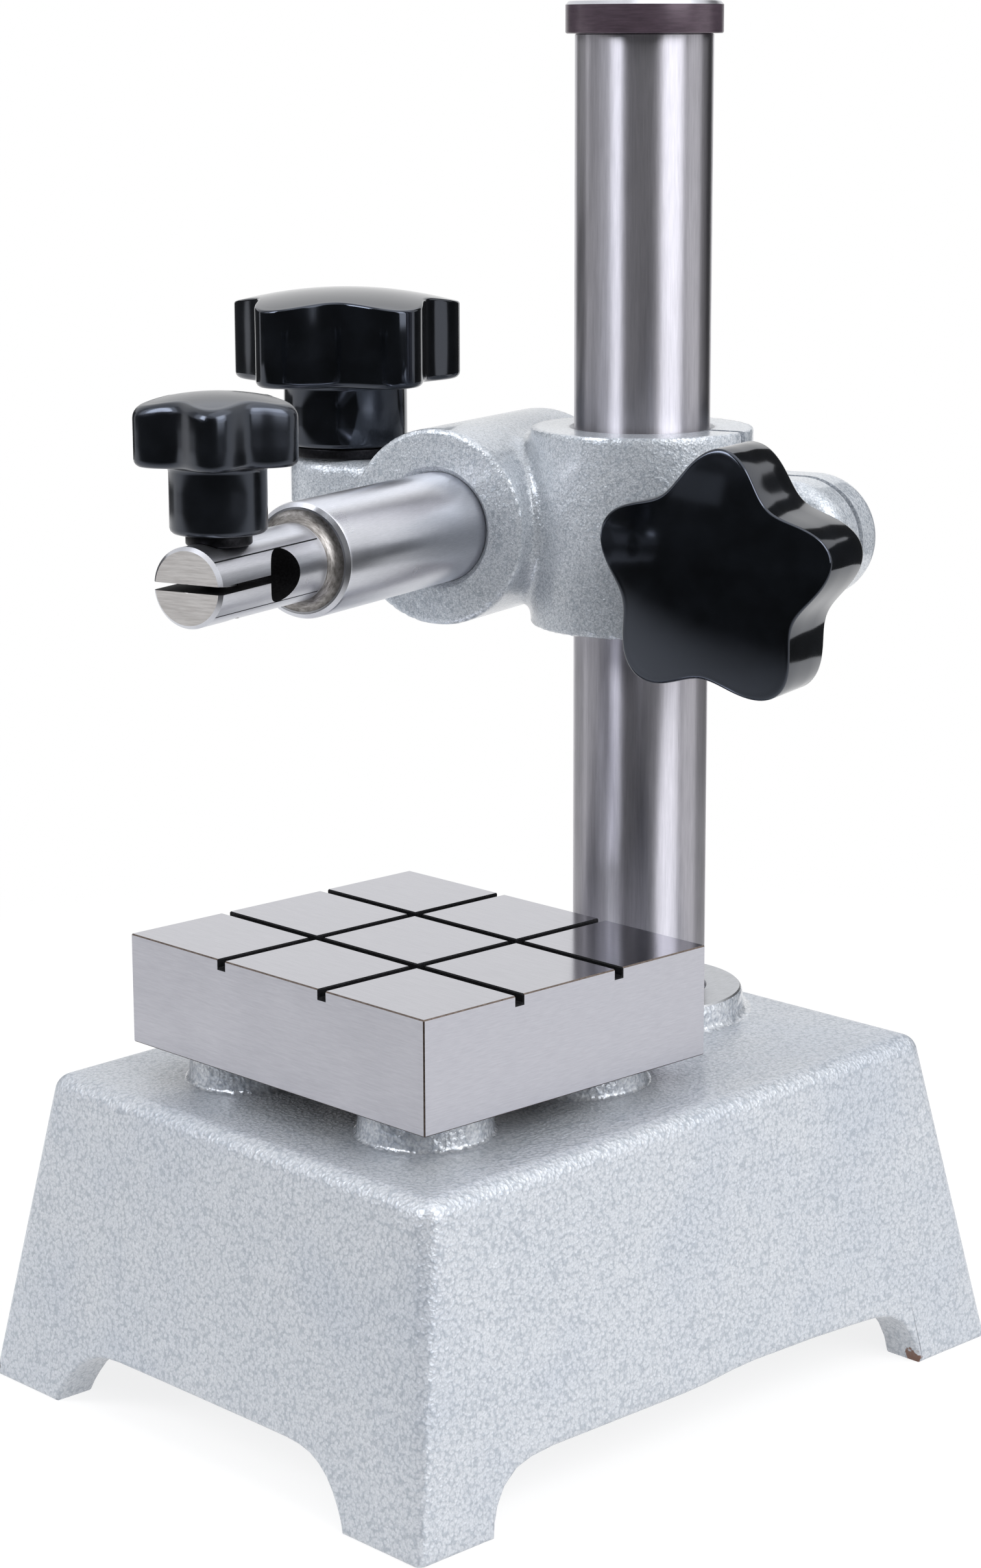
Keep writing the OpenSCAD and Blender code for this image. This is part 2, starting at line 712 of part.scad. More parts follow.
module tip_clamp_stud() color(steel) {
    on_tip_axis() stud(small_stud_r, stud_end_gap - 2 * tip_r + spot_depth,
        small_washer_t + stud_grip_share * (small_hub_h + small_star_h));
}

module tip_clamp_washer() color(dark_steel) {
    on_tip_axis() ring(small_washer_r, small_stud_r + free_hole_play, small_washer_t);
}

base_casting();
measuring_table();
table_screws();
table_spring_washers();
column();
column_cap();
column_bolt();
column_washer();
column_spring_washer();
clamp_head();
bar_stop_washer();
bar_stop_screw();
crossbar();
column_clamp_knob();
column_clamp_stud();
column_clamp_washer();
bar_clamp_knob();
bar_clamp_stud();
bar_clamp_washer();
tip_clamp_knob();
tip_clamp_stud();
tip_clamp_washer();
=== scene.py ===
import json
import math

import bmesh
import bpy
import numpy as np
from mathutils import Matrix, Vector


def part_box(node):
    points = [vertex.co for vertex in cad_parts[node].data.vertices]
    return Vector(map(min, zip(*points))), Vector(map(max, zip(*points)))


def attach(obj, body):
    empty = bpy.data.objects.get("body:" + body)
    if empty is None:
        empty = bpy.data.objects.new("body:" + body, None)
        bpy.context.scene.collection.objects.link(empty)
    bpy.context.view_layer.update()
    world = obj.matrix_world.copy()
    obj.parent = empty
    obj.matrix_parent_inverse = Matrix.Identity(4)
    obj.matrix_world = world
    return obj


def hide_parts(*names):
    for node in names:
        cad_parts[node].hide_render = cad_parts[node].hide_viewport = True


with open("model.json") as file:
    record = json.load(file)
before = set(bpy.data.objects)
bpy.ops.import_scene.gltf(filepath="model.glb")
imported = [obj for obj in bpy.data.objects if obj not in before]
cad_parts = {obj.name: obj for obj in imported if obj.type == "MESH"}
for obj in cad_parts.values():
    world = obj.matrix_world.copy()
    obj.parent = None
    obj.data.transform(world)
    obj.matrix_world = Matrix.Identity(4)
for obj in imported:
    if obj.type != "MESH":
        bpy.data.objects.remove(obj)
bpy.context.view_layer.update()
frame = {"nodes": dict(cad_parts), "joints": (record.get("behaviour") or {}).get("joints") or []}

# Pieces are worked out in millimetres and turned to metres when their meshes are made
MM = 0.001
UP = np.array([0.0, 0.0, 1.0])
joints = {joint["name"]: joint for joint in frame["joints"]}


def node_box(node):
    """Lowest and highest corner of a CAD node, in millimetres."""
    low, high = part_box(node)
    return np.array(low) / MM, np.array(high) / MM


def joint_place(name):
    """A point on a joint's axis, in millimetres."""
    return np.array(joints[name]["pos_m"]) / MM


def joint_axis(name):
    """Unit vector along a joint's axis."""
    axis = np.array(joints[name]["axis"], float)
    return axis / np.linalg.norm(axis)


# Places that the frame gives
base_high = node_box("base_casting")[1]
table_low, table_high = node_box("measuring_table")
column_low, column_high = node_box("column")
cap_high = node_box("column_cap")[1]
head_low, head_high = node_box("clamp_head")
column_at = (column_low + column_high) / 2 * [1, 1, 0]
head_forward = joint_axis("bar_slide")
head_right = np.cross(UP, head_forward)
bar_at = joint_place("bar_turn")
side_clamp_at = joint_place("column_clamp_turn")
top_clamp_at = joint_place("bar_clamp_turn")
tip_clamp_at = joint_place("tip_clamp_turn")


def place(origin, z_axis, x_axis):
    """Matrix that puts a piece drawn in its own millimetre axes at origin, its Z along z_axis."""
    z = np.array(z_axis, float)
    x = np.array(x_axis, float)
    y = np.cross(z, x)
    rows = [[x[i], y[i], z[i], origin[i] * MM] for i in range(3)]
    return Matrix(rows + [[0, 0, 0, 1]])


# The head's own axes: X to the right across the column, Y to the back, Z up, from the column's foot
head_frame = place(column_at, UP, head_right)


def in_head(point):
    """A world point, in millimetres, in the head's own axes."""
    away = np.array(point, float) - column_at
    return np.array([away @ head_right, away @ -head_forward, away[2]])


# The crossbar's axes: Z along it to the front, X to the right, Y up, from its point level with the column
bar_frame = place(bar_at + head_forward * in_head(bar_at)[1], head_forward, head_right)

# Place and directions of the photograph's camera
camera_at = np.array([378.81, -362.90, 210.71])
camera_back = np.array([0.70639, -0.67485, 0.21353])
camera_right = np.array([0.69126, 0.72260, -0.00305])


def make_camera():
    data = bpy.data.cameras.new("camera")
    data.sensor_fit = "VERTICAL"
    data.sensor_height = 36
    data.lens = 77.712
    data.clip_start = 0.01
    data.clip_end = 20
    camera = bpy.data.objects.new("camera", data)
    bpy.context.scene.collection.objects.link(camera)
    back = camera_back / np.linalg.norm(camera_back)
    right = camera_right - back * (camera_right @ back)
    camera.matrix_world = place(camera_at, back, right / np.linalg.norm(right))
    bpy.context.scene.camera = camera


# Mesh tools
def new_object(name, verts, faces, matrix=None):
    """Object from millimetre points and faces."""
    mesh = bpy.data.meshes.new(name)
    points = np.asarray(verts, float) * MM
    mesh.from_pydata(points.tolist(), [], [[int(i) for i in face] for face in faces])
    mesh.update()
    obj = bpy.data.objects.new(name, mesh)
    bpy.context.scene.collection.objects.link(obj)
    if matrix is not None:
        obj.matrix_world = matrix
    return obj


def smooth(obj, angle=35):
    """Smooth shading with the edges over that angle left sharp."""
    obj.data.shade_smooth()
    obj.data.set_sharp_from_angle(angle=math.radians(angle))


def loft(name, rings, matrix=None):
    """Closed skin over rings of equally many points, capped at both ends, with its faces outwards."""
    count = len(rings[0])
    verts = np.concatenate([np.asarray(ring, float) for ring in rings])
    faces = []
    for row in range(len(rings) - 1):
        for i in range(count):
            j = (i + 1) % count
            faces.append((row * count + i, row * count + j, (row + 1) * count + j, (row + 1) * count + i))
    faces.append(tuple(reversed(range(count))))
    faces.append(tuple(range((len(rings) - 1) * count, len(rings) * count)))
    obj = new_object(name, verts, faces, matrix)
    work = bmesh.new()
    work.from_mesh(obj.data)
    bmesh.ops.remove_doubles(work, verts=work.verts, dist=0.2e-6)
    bmesh.ops.recalc_face_normals(work, faces=work.faces)
    work.to_mesh(obj.data)
    work.free()
    return obj


def lathe(name, profile, matrix=None, segments=128):
    """Turned piece from a profile of (radius, height), from one end of its axis to the other."""
    turns = np.linspace(0, 2 * math.pi, segments, endpoint=False)
    rings = []
    for radius, height in profile:
        flat = [radius * np.cos(turns), radius * np.sin(turns), np.full(segments, height)]
        rings.append(np.stack(flat, axis=1))
    return loft(name, rings, matrix)


def arc(centre, radius, start, end, steps):
    """Points (radius, height) along an arc of a profile, angles in degrees."""
    turns = np.radians(np.linspace(start, end, steps + 1))
    return [(centre[0] + radius * math.cos(t), centre[1] + radius * math.sin(t)) for t in turns]


def rounding(degrees):
    """Sine and cosine of each angle on the way round an edge."""
    return [(math.sin(t), math.cos(t)) for t in np.radians(degrees)]


def apply_modifiers(obj):
    """Gives a piece the mesh that its modifiers make."""
    bpy.context.view_layer.update()
    evaluated = obj.evaluated_get(bpy.context.evaluated_depsgraph_get())
    mesh = bpy.data.meshes.new_from_object(evaluated)
    obj.modifiers.clear()
    obj.data = mesh


def cut(obj, cutter):
    """Cuts a closed solid out of another and removes it."""
    modifier = obj.modifiers.new("cut", "BOOLEAN")
    modifier.operation = "DIFFERENCE"
    modifier.solver = "EXACT"
    modifier.object = cutter
    apply_modifiers(obj)
    bpy.data.objects.remove(cutter)


def block(low, high, matrix=None, name="cutter"):
    """Box between two corners."""
    x0, y0, z0 = low
    x1, y1, z1 = high
    verts = [(x0, y0, z0), (x1, y0, z0), (x1, y1, z0), (x0, y1, z0),
             (x0, y0, z1), (x1, y0, z1), (x1, y1, z1), (x0, y1, z1)]
    faces = [(0, 3, 2, 1), (4, 5, 6, 7), (0, 1, 5, 4), (1, 2, 6, 5), (2, 3, 7, 6), (3, 0, 4, 7)]
    return new_object(name, verts, faces, matrix)


def drill(profile, matrix, segments=96):
    """Turned cutter."""
    return lathe("cutter", profile, matrix, segments)


def chamfered_hole(radius, start, end, chamfer):
    """Profile that drills right through from start to end and breaks the edge at both."""
    out = math.copysign(1, start - end)
    wide = radius + chamfer
    return [(wide + 1, start + out), (wide, start), (radius, start - out * chamfer),
            (radius, end + out * chamfer), (wide, end), (wide + 1, end - out)]


# Materials
def linear(colour):
    """Linear RGBA from an sRGB hex colour."""
    values = [int(colour[i:i + 2], 16) / 255 for i in (1, 3, 5)]
    return tuple(v / 12.92 if v <= 0.04045 else ((v + 0.055) / 1.055) ** 2.4 for v in values) + (1.0,)


def add(tree, kind, links=None, **settings):
    """Adds a node. settings set its properties, or its inputs where it has no such property."""
    node = tree.nodes.new(kind)
    for key, value in settings.items():
        if hasattr(node, key):
            setattr(node, key, value)
    for key, value in settings.items():
        if not hasattr(node, key):
            node.inputs[key.replace("_", " ")].default_value = value
    for key, socket in (links or {}).items():
        tree.links.new(socket, node.inputs[key])
    return node


def new_material(name):
    material = bpy.data.materials.new(name)
    material.use_nodes = True
    tree = material.node_tree
    tree.nodes.clear()
    return material, tree


def finish_material(tree, links, **settings):
    """Principled shader with constants on its own sockets, and the output."""
    shader = add(tree, "ShaderNodeBsdfPrincipled", links, **settings)
    add(tree, "ShaderNodeOutputMaterial", {"Surface": shader.outputs[0]})


def ramp(tree, factor, stops):
    """Colour ramp through (place, hex colour) stops."""
    node = add(tree, "ShaderNodeValToRGB", {"Fac": factor})
    elements = node.color_ramp.elements
    while len(elements) < len(stops):
        elements.new(0.5)
    for element, (where, colour) in zip(elements, stops):
        element.position = where
        element.color = linear(colour)
    return node.outputs["Color"]


def per_mm(size):
    """Texture scale that gives features of about that many millimetres, in metre coordinates."""
    return 1 / (size * MM)


WHITE = linear("#ffffff")


def chipped(tree, place_in, colour, where, size_mm, bare):
    """Colour with the enamel gone round one place, in millimetres: a ragged spot of bare iron."""
    size = size_mm * MM
    away = add(tree, "ShaderNodeVectorMath", {0: place_in}, operation="DISTANCE")
    away.inputs[1].default_value = [value * MM for value in where]
    ragged = add(tree, "ShaderNodeTexNoise", {"Vector": place_in}, Scale=per_mm(1.2), Detail=2.0)
    reach = add(tree, "ShaderNodeMath", {0: ragged.outputs["Fac"], 2: away.outputs["Value"]},
                operation="MULTIPLY_ADD")
    reach.inputs[1].default_value = 2 * size
    share = add(tree, "ShaderNodeMapRange", {"Value": reach.outputs[0]}, From_Min=1.85 * size,
                From_Max=2.1 * size, To_Min=1.0, To_Max=0.0)
    mix = add(tree, "ShaderNodeMixRGB", {"Fac": share.outputs[0], "Color1": colour}, Color2=linear(bare))
    return mix.outputs["Color"]


def hammered_enamel(name, tones, cell_mm, pit_mm, sand_size_mm, sand_mm, rough, coat, chips=()):
    """Silver hammer-finish stoving enamel over a sand casting: to the eye small glossy pits with thin darker
    lines between them, and a silver grain. cell_mm and pit_mm are the pits' size and depth, and the sand
    values are those of the casting's unevenness. The real metal flakes, some 0.05 mm, are too fine to show,
    so the grain is drawn at half a pit's size."""
    material, tree = new_material(name)
    place_in = add(tree, "ShaderNodeTexCoord").outputs["Object"]
    drift = add(tree, "ShaderNodeTexNoise", {"Vector": place_in}, Scale=per_mm(cell_mm * 1.6), Detail=1.0)
    bent = add(tree, "ShaderNodeVectorMath", {0: drift.outputs["Color"]}, operation="SCALE",
               Scale=cell_mm * MM)
    bent = add(tree, "ShaderNodeVectorMath", {0: place_in, 1: bent.outputs[0]}, operation="ADD")
    cells = add(tree, "ShaderNodeTexVoronoi", {"Vector": bent.outputs[0]}, feature="SMOOTH_F1",
                Scale=per_mm(cell_mm), Smoothness=0.25)
    grain = add(tree, "ShaderNodeTexNoise", {"Vector": place_in}, Scale=per_mm(cell_mm * 0.5), Detail=2.0)
    sand = add(tree, "ShaderNodeTexNoise", {"Vector": place_in}, Scale=per_mm(sand_size_mm), Detail=3.0)
    clouds = add(tree, "ShaderNodeTexNoise", {"Vector": place_in}, Scale=per_mm(25), Detail=3.0)
    links = {}
    for height, strength, depth_mm in ((sand.outputs["Fac"], 0.6, sand_mm),
                                       (cells.outputs["Distance"], 0.8, pit_mm),
                                       (grain.outputs["Fac"], 0.8, pit_mm * 0.45)):
        raised = add(tree, "ShaderNodeBump", {"Height": height, **links}, Strength=strength,
                     Distance=depth_mm * MM)
        links = {"Normal": raised.outputs["Normal"]}
    colour = ramp(tree, grain.outputs["Fac"], list(zip((0.36, 0.5, 0.64), tones)))
    line = ramp(tree, cells.outputs["Distance"], [(0.45, "#ffffff"), (0.75, "#dfe2e5")])
    cloud = ramp(tree, clouds.outputs["Fac"], [(0.35, "#f5f7fa"), (0.55, "#ffffff"), (0.75, "#fafbfc")])
    for tint in (line, cloud):
        mix = add(tree, "ShaderNodeMixRGB", {"Color1": colour, "Color2": tint}, blend_type="MULTIPLY",
                  Fac=1.0)
        colour = mix.outputs["Color"]
    for where, size_mm, bare in chips:
        colour = chipped(tree, place_in, colour, where, size_mm, bare)
    links["Base Color"] = colour
    finish_material(tree, links, Metallic=0.25, Roughness=rough, Coat_Weight=coat,
                    Coat_Roughness=rough * 0.3)
    return material


def streaked_steel(name, light, dark, grain_mm, fineness=(1.0, 1.0, 1.0), rough=0.4, bump_mm=0.02, bump=0.3,
                   turned=0.0, metallic=1.0):
    """Steel with the marks of its last tool. The real marks are some 0.02 to 0.05 mm apart, too fine to show,
    so grain_mm draws them coarser. fineness along X, Y and Z is 1 across the marks, and 0.05 makes them 20
    times as long. turned smears the reflections along the axis, as marks that run round a bar do."""
    material, tree = new_material(name)
    place_in = add(tree, "ShaderNodeTexCoord").outputs["Object"]
    scaled = add(tree, "ShaderNodeMapping", {"Vector": place_in}, Scale=fineness)
    lines = add(tree, "ShaderNodeTexNoise", {"Vector": scaled.outputs[0]}, Scale=per_mm(grain_mm), Detail=4.0,
                Roughness=0.65)
    clouds = add(tree, "ShaderNodeTexNoise", {"Vector": place_in}, Scale=per_mm(9), Detail=2.0)
    raised = add(tree, "ShaderNodeBump", {"Height": lines.outputs["Fac"]}, Strength=bump,
                 Distance=bump_mm * MM)
    colour = ramp(tree, lines.outputs["Fac"], [(0.3, dark), (0.7, light)])
    gloss = add(tree, "ShaderNodeMapRange", {"Value": clouds.outputs["Fac"]}, To_Min=rough * 0.85,
                To_Max=rough * 1.15)
    links = {"Base Color": colour, "Roughness": gloss.outputs[0], "Normal": raised.outputs["Normal"]}
    settings = {"Metallic": metallic}
    if turned:
        links["Tangent"] = add(tree, "ShaderNodeTangent", direction_type="RADIAL", axis="Z").outputs[0]
        settings["Anisotropic"] = turned
        settings["Anisotropic_Rotation"] = 0.25
    finish_material(tree, links, **settings)
    return material


def phenolic(name, rough, ripple_mm):
    """Black phenolic moulding: a hard gloss that takes sharp reflections, with faint handling marks."""
    material, tree = new_material(name)
    place_in = add(tree, "ShaderNodeTexCoord").outputs["Object"]
    smears = add(tree, "ShaderNodeTexNoise", {"Vector": place_in}, Scale=per_mm(5), Detail=3.0)
    ripple = add(tree, "ShaderNodeTexNoise", {"Vector": place_in}, Scale=per_mm(7), Detail=1.0)
    raised = add(tree, "ShaderNodeBump", {"Height": ripple.outputs["Fac"]}, Strength=0.3,
                 Distance=ripple_mm * MM)
    colour = ramp(tree, smears.outputs["Fac"], [(0.35, "#060708"), (0.7, "#0c0e11")])
    gloss = add(tree, "ShaderNodeMapRange", {"Value": smears.outputs["Fac"]}, To_Min=rough * 0.8,
                To_Max=rough * 1.3)
    links = {"Base Color": colour, "Roughness": gloss.outputs[0], "Normal": raised.outputs["Normal"]}
    finish_material(tree, links, IOR=1.65, Specular_Tint=linear("#dde8ff"))
    return material


# Chips in the enamel of two feet: place and size in millimetres, and the iron that shows
foot_chips = [((49.6, 46.6, 0.6), 1.5, "#6b4a3c"), ((-50.3, -64, 1.6), 0.9, "#2a2522"),
              ((-50.8, -62.6, 0.4), 0.7, "#5b4336")]
# Enamel sprayed thin on the base's walls: small even pits and a dull sheen, an even silver speckle
base_enamel = hammered_enamel("silver_hammered_enamel", ("#b9bdc4", "#c4c8ce", "#cdd0d6"), cell_mm=0.64,
                              pit_mm=0.15, sand_size_mm=4.5, sand_mm=0.25, rough=0.4, coat=0.4,
                              chips=foot_chips)
# Enamel that ran thick round the pads and the seat: wide soft pits under a wet gloss, with bright glints
pad_enamel = hammered_enamel("silver_flowed_enamel", ("#b0b4bb", "#c3c7cd", "#d1d4d9"), cell_mm=0.9,
                             pit_mm=0.2, sand_size_mm=2.2, sand_mm=0.6, rough=0.24, coat=1.0)
# Enamel sprayed on the head's rougher casting: fine specks over the sand's unevenness
head_enamel = hammered_enamel("silver_speckled_enamel", ("#aeb3ba", "#c1c6cd", "#d2d6db"), cell_mm=0.45,
                              pit_mm=0.06, sand_size_mm=1.8, sand_mm=0.5, rough=0.34, coat=0.7)
# Tool steel ground on the table's sides: level lines and a satin sheen
table_ground = streaked_steel("ground_tool_steel", "#c3c3ca", "#b6b6be", 0.2, (0.07, 0.07, 1.0), bump=0.25)
# Tool steel lapped on the table's top: almost a mirror, with faint lines from side to side
table_lapped = streaked_steel("lapped_tool_steel", "#bcbcc3", "#b2b2b9", 0.25, (0.05, 1.0, 1.0), rough=0.11,
                              bump_mm=0.01, bump=0.15)
# Painted shade: tool steel painted dark brown on the table's underside, as the shade beneath it, and on the
# broken edges, as a thin painted dark line round each face
edge_shade_steel = streaked_steel("painted_edge_shade", "#7b7069", "#544a45", 0.5)
# Steel bar from a centreless grinder: soft upright bands of light and dark
column_ground = streaked_steel("centreless_ground_steel", "#bcbac1", "#aba9b0", 0.3, (1.0, 1.0, 0.05),
                               bump_mm=0.01, bump=0.2, turned=1.0)
# Steel turned and polished: brighter bands than the column's, and crisper
bar_turned = streaked_steel("polished_turned_steel", "#cfd0d6", "#bec0c6", 0.1, (1.0, 1.0, 0.06), rough=0.29,
                            bump_mm=0.01, bump=0.12, turned=0.55)
# Steel faced at the bar's end: pale and dull, with lines across
faced_steel = streaked_steel("faced_steel", "#cfccca", "#aeaaa8", 0.35, (0.08, 1.0, 1.0), rough=0.55,
                             bump_mm=0.03, bump=0.5, metallic=0.5)
# Painted shade: steel in the concave fillet of the bar's shoulder is painted darker and mottled, as the shade
# in that crease, with a brown tint
root_crease_shade = streaked_steel("painted_root_shade", "#a5a2a0", "#5f5b58", 0.25, (0.2, 0.2, 1.0),
                             bump_mm=0.04, bump=0.6)
# Painted shade: steel in bores, slits and grooves is painted matt and nearly black, standing in for the shade
# inside them
recess_shade_steel = streaked_steel("painted_recess_shade", "#2e2e30", "#1b1b1d", 0.4, rough=0.7)
# Steel blackened in oil on the stop cap: dark with a plum tinge, a soft sheen and level rings
cap_black = streaked_steel("oil_blackened_steel", "#5a4c57", "#473c45", 0.35, (0.1, 0.1, 1.0), rough=0.3,
                           metallic=0.4)
# Zinc-plated steel of washers and studs: an even pale grey
plain_steel = streaked_steel("zinc_plated_steel", "#b9bbbf", "#9d9fa4", 0.5, rough=0.35)
# Black oxide on screws and the clamps' rings: matt black with a metal edge
screw_black = streaked_steel("black_oxide_steel", "#2b2b2e", "#1c1c1f", 0.5)
# Cast iron machined bare in the bores and on the seat: pale grey with the cutter's lines
bare_iron = streaked_steel("machined_cast_iron", "#c2c4c8", "#a6a8ac", 0.2, (1.0, 0.1, 1.0), rough=0.35,
                           bump=0.4)
# Phenolic from a polished mould on the large knobs: deep black with sharp reflections
knob_gloss = phenolic("black_phenolic", rough=0.1, ripple_mm=0.05)
# Phenolic worn by hands on the small knob: the same black with wider, milkier lights
knob_soft = phenolic("black_phenolic_worn", rough=0.2, ripple_mm=0.12)


def dress(obj, body, materials, slot, *nodes):
    """Gives a piece its materials and body, and hides the CAD nodes that it stands for."""
    for material in materials:
        obj.data.materials.append(material)
    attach(obj, body)
    if nodes:
        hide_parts(*nodes)


# Base casting: one skin that runs down the outside, round the feet and up the inside
front_top_z, back_top_z = 50.5, 53.1
side_lean, front_lean, back_lean = 6.9, 8.5, 10.7
wall, roof_z = 7.5, 41.5
top_rim, foot_rim, roof_rim = 3.2, 0.8, 4.0
foot_corner, top_corner, inner_corner = 1.6, 3.0, 3.0
# Flat left on a foot beside its arch
rim_room = 1.4

# Edge of the front and back arches, from the middle out: along the wall, and above the floor
front_arch = [(0, 10.1), (10, 10.1), (20, 10.05), (23, 9.85), (25.5, 9.3), (27.6, 8.35), (29.6, 6.95),
              (31.2, 5.3), (32.5, 3.5), (33.6, 1.7), (34.4, 0)]
# Edge of the side arches, from the front foot to the back
side_arch = [(-49.3, 0), (-48.8, 2.2), (-47.9, 4.6), (-46.3, 6.9), (-43.6, 8.8), (-40.5, 9.6), (-36, 9.95),
             (-20, 9.95), (-8, 9.95), (-3, 10.1), (3, 10.6), (8, 10.8), (22, 10.6), (32, 10.2), (37, 9.9),
             (41, 9.0), (43.6, 7.4), (45.3, 5.2), (46.4, 2.6), (46.9, 0)]
front_ends = (-front_arch[-1][0] - rim_room, front_arch[-1][0] + rim_room)
side_ends = (side_arch[0][0] - rim_room, side_arch[-1][0] + rim_room)


def base_top_z(y):
    """Height of the base's sloping top."""
    front_y = -base_high[1] + front_lean
    back_y = base_high[1] - back_lean
    return front_top_z + (back_top_z - front_top_z) * (y - front_y) / (back_y - front_y)


def wall_plan(z, inset, inner):
    """Outline of the walls at height z: (half width, front, back, corner radius), pulled in by inset."""
    share = z / base_top_z(0)
    half_x = base_high[0] - side_lean * share
    front_y = -base_high[1] + front_lean * z / front_top_z
    back_y = base_high[1] - back_lean * z / back_top_z
    corner = foot_corner + (top_corner - foot_corner) * share
    if inner:
        half_x, front_y, back_y, corner = half_x - wall, front_y + wall, back_y - wall, inner_corner
    corner = max(corner - inset, 0.3)
    return half_x - inset, front_y + inset, back_y - inset, corner


def wall_span(side, plan):
    """Ends of a wall's straight part, in the direction of rising X or Y."""
    half_x, front_y, back_y, corner = plan
    if side in (0, 2):
        return -half_x + corner, half_x - corner
    return front_y + corner, back_y - corner


def wall_point(side, along, plan):
    """Point on the front, right, back or left wall."""
    half_x, front_y, back_y, _ = plan
    return {0: (along, front_y), 1: (half_x, along), 2: (along, back_y), 3: (-half_x, along)}[side]


def corner_point(side, turn, plan):
    """Point on the rounded corner that follows a wall, anticlockwise seen from above."""
    half_x, front_y, back_y, corner = plan
    middle = {0: (half_x - corner, front_y + corner), 1: (half_x - corner, back_y - corner),
              2: (-half_x + corner, back_y - corner), 3: (-half_x + corner, front_y + corner)}[side]
    angle = math.radians(-90 + 90 * side + turn)
    return middle[0] + corner * math.cos(angle), middle[1] + corner * math.sin(angle)


def edge_normals(edge):
    """Unit vectors that point from a wall's lower edge into the wall."""
    points = np.array(edge, float)
    steps = np.diff(points, axis=0)
    steps = steps / np.linalg.norm(steps, axis=1)[:, None]
    steps = np.concatenate([steps[:1], (steps[1:] + steps[:-1]), steps[-1:]])
    steps = steps / np.linalg.norm(steps, axis=1)[:, None]
    return np.stack([-steps[:, 1], steps[:, 0]], axis=1)


def wall_edges():
    """Lower edges of the four walls as (along, height), each in the direction of rising X or Y."""
    foot_x = base_high[0] - foot_corner
    foot_y = base_high[1] - foot_corner
    right = front_arch + [(x, 0) for x in (front_ends[1], 38, 41, 44, foot_x)]
    across = [(-x, z) for x, z in reversed(right[1:])] + right
    along = [(y, 0) for y in (-foot_y, -58, -54, side_ends[0])] + side_arch
    along += [(y, 0) for y in (side_ends[1], 51, 55, foot_y)]
    return {0: across, 1: along, 2: across, 3: along}


def base_ring(edges, normals, lift, share, inset, inner, top):
    """One ring of the base's skin. lift raises it off the lower edge, share runs from there up to the wall's
    top, and inset pulls it in from the wall. top gives the height where share is 1."""
    ring = []
    for side in range(4):
        ends = front_ends if side in (0, 2) else side_ends
        outer = wall_span(side, wall_plan(0, 0, False))
        here = wall_span(side, wall_plan(0, 0, inner))
        order = range(len(edges[side])) if side in (0, 1) else reversed(range(len(edges[side])))
        for i in order:
            along, low = edges[side][i]
            across, rise = normals[side][i]
            along = np.interp(along, [outer[0], *ends, outer[1]], [here[0], *ends, here[1]])
            foot = low + lift * rise
            y_guess = wall_point(side, along, wall_plan(foot, inset, inner))[1]
            z = foot + (top(y_guess) - foot) * share
            above = wall_span(side, wall_plan(top(y_guess), inset, inner))
            place_above = above[0] + (along - here[0]) / (here[1] - here[0]) * (above[1] - above[0])
            place_here = (along + lift * across) * (1 - share) + place_above * share
            ring.append((*wall_point(side, place_here, wall_plan(z, inset, inner)), z))
        for turn in (15, 30, 45, 60, 75):
            y_guess = corner_point(side, turn, wall_plan(0, inset, inner))[1]
            z = lift + (top(y_guess) - lift) * share
            x, y = corner_point(side, turn, wall_plan(z, inset, inner))
            ring.append((x, y, z))
    return ring


def make_base_shell():
    edges = wall_edges()
    normals = {side: edge_normals(edge) for side, edge in edges.items()}
    # The walls' lean, and the top's length as a share of the foot's
    lean = math.radians(9)
    top_length = 0.84
    rings = []

    def wall_top(y):
        return base_top_z(y * top_length) - top_rim * (1 - math.sin(lean))

    def under_roof(y):
        return roof_z - roof_rim

    # Flat top, then its rounded edge, from the inside out
    for inset in (34, 25, 17, 11, 7, 4.5):
        ring = base_ring(edges, normals, 0, 1, inset, False, wall_top)
        rings.append([(x, y, base_top_z(y)) for x, y, _ in ring])
    for rise, across in rounding(np.linspace(90, 9, 9)):
        ring = base_ring(edges, normals, 0, 1, top_rim * (math.cos(lean) - across), False, wall_top)
        rings.append([(x, y, base_top_z(y) - top_rim * (1 - rise)) for x, y, _ in ring])
    # Outside of the walls
    for share in (0.94, 0.86, 0.76, 0.66, 0.56, 0.46, 0.36, 0.26, 0.17, 0.09, 0.03, 0):
        rings.append(base_ring(edges, normals, foot_rim, share, 0, False, wall_top))
    # Rounded lower edge, outside and inside
    for inner, degrees in ((False, (60, 35, 12)), (True, (12, 35, 60))):
        for rise, across in rounding(degrees):
            inset = foot_rim * (1 - rise) * (-1 if inner else 1)
            rings.append(base_ring(edges, normals, foot_rim * (1 - across), 0, inset, inner, wall_top))
    # Inside of the walls and the roof
    for share in (0, 0.1, 0.3, 0.5, 0.7, 0.9, 1):
        rings.append(base_ring(edges, normals, foot_rim, share, 0, True, under_roof))
    for rise, across in rounding((20, 45, 70, 90)):
        ring = base_ring(edges, normals, 0, 1, roof_rim * (1 - across), True, under_roof)
        rings.append([(x, y, z + roof_rim * rise) for x, y, z in ring])
    shell = loft("cast_base_shell", rings)
    smooth(shell, 50)
    dress(shell, "base", [base_enamel], "base_enamel", "base_casting")


def lean_with_top(obj, centre_y, low_z, high_z):
    """Tips the flared foot of a boss so that it lies along the base's sloping top."""
    slope = (base_top_z(10) - base_top_z(0)) / 10
    for vertex in obj.data.vertices:
        share = min(max((high_z - vertex.co.z / MM) / (high_z - low_z), 0), 1)
        vertex.co.z += slope * (vertex.co.y - centre_y * MM) * share


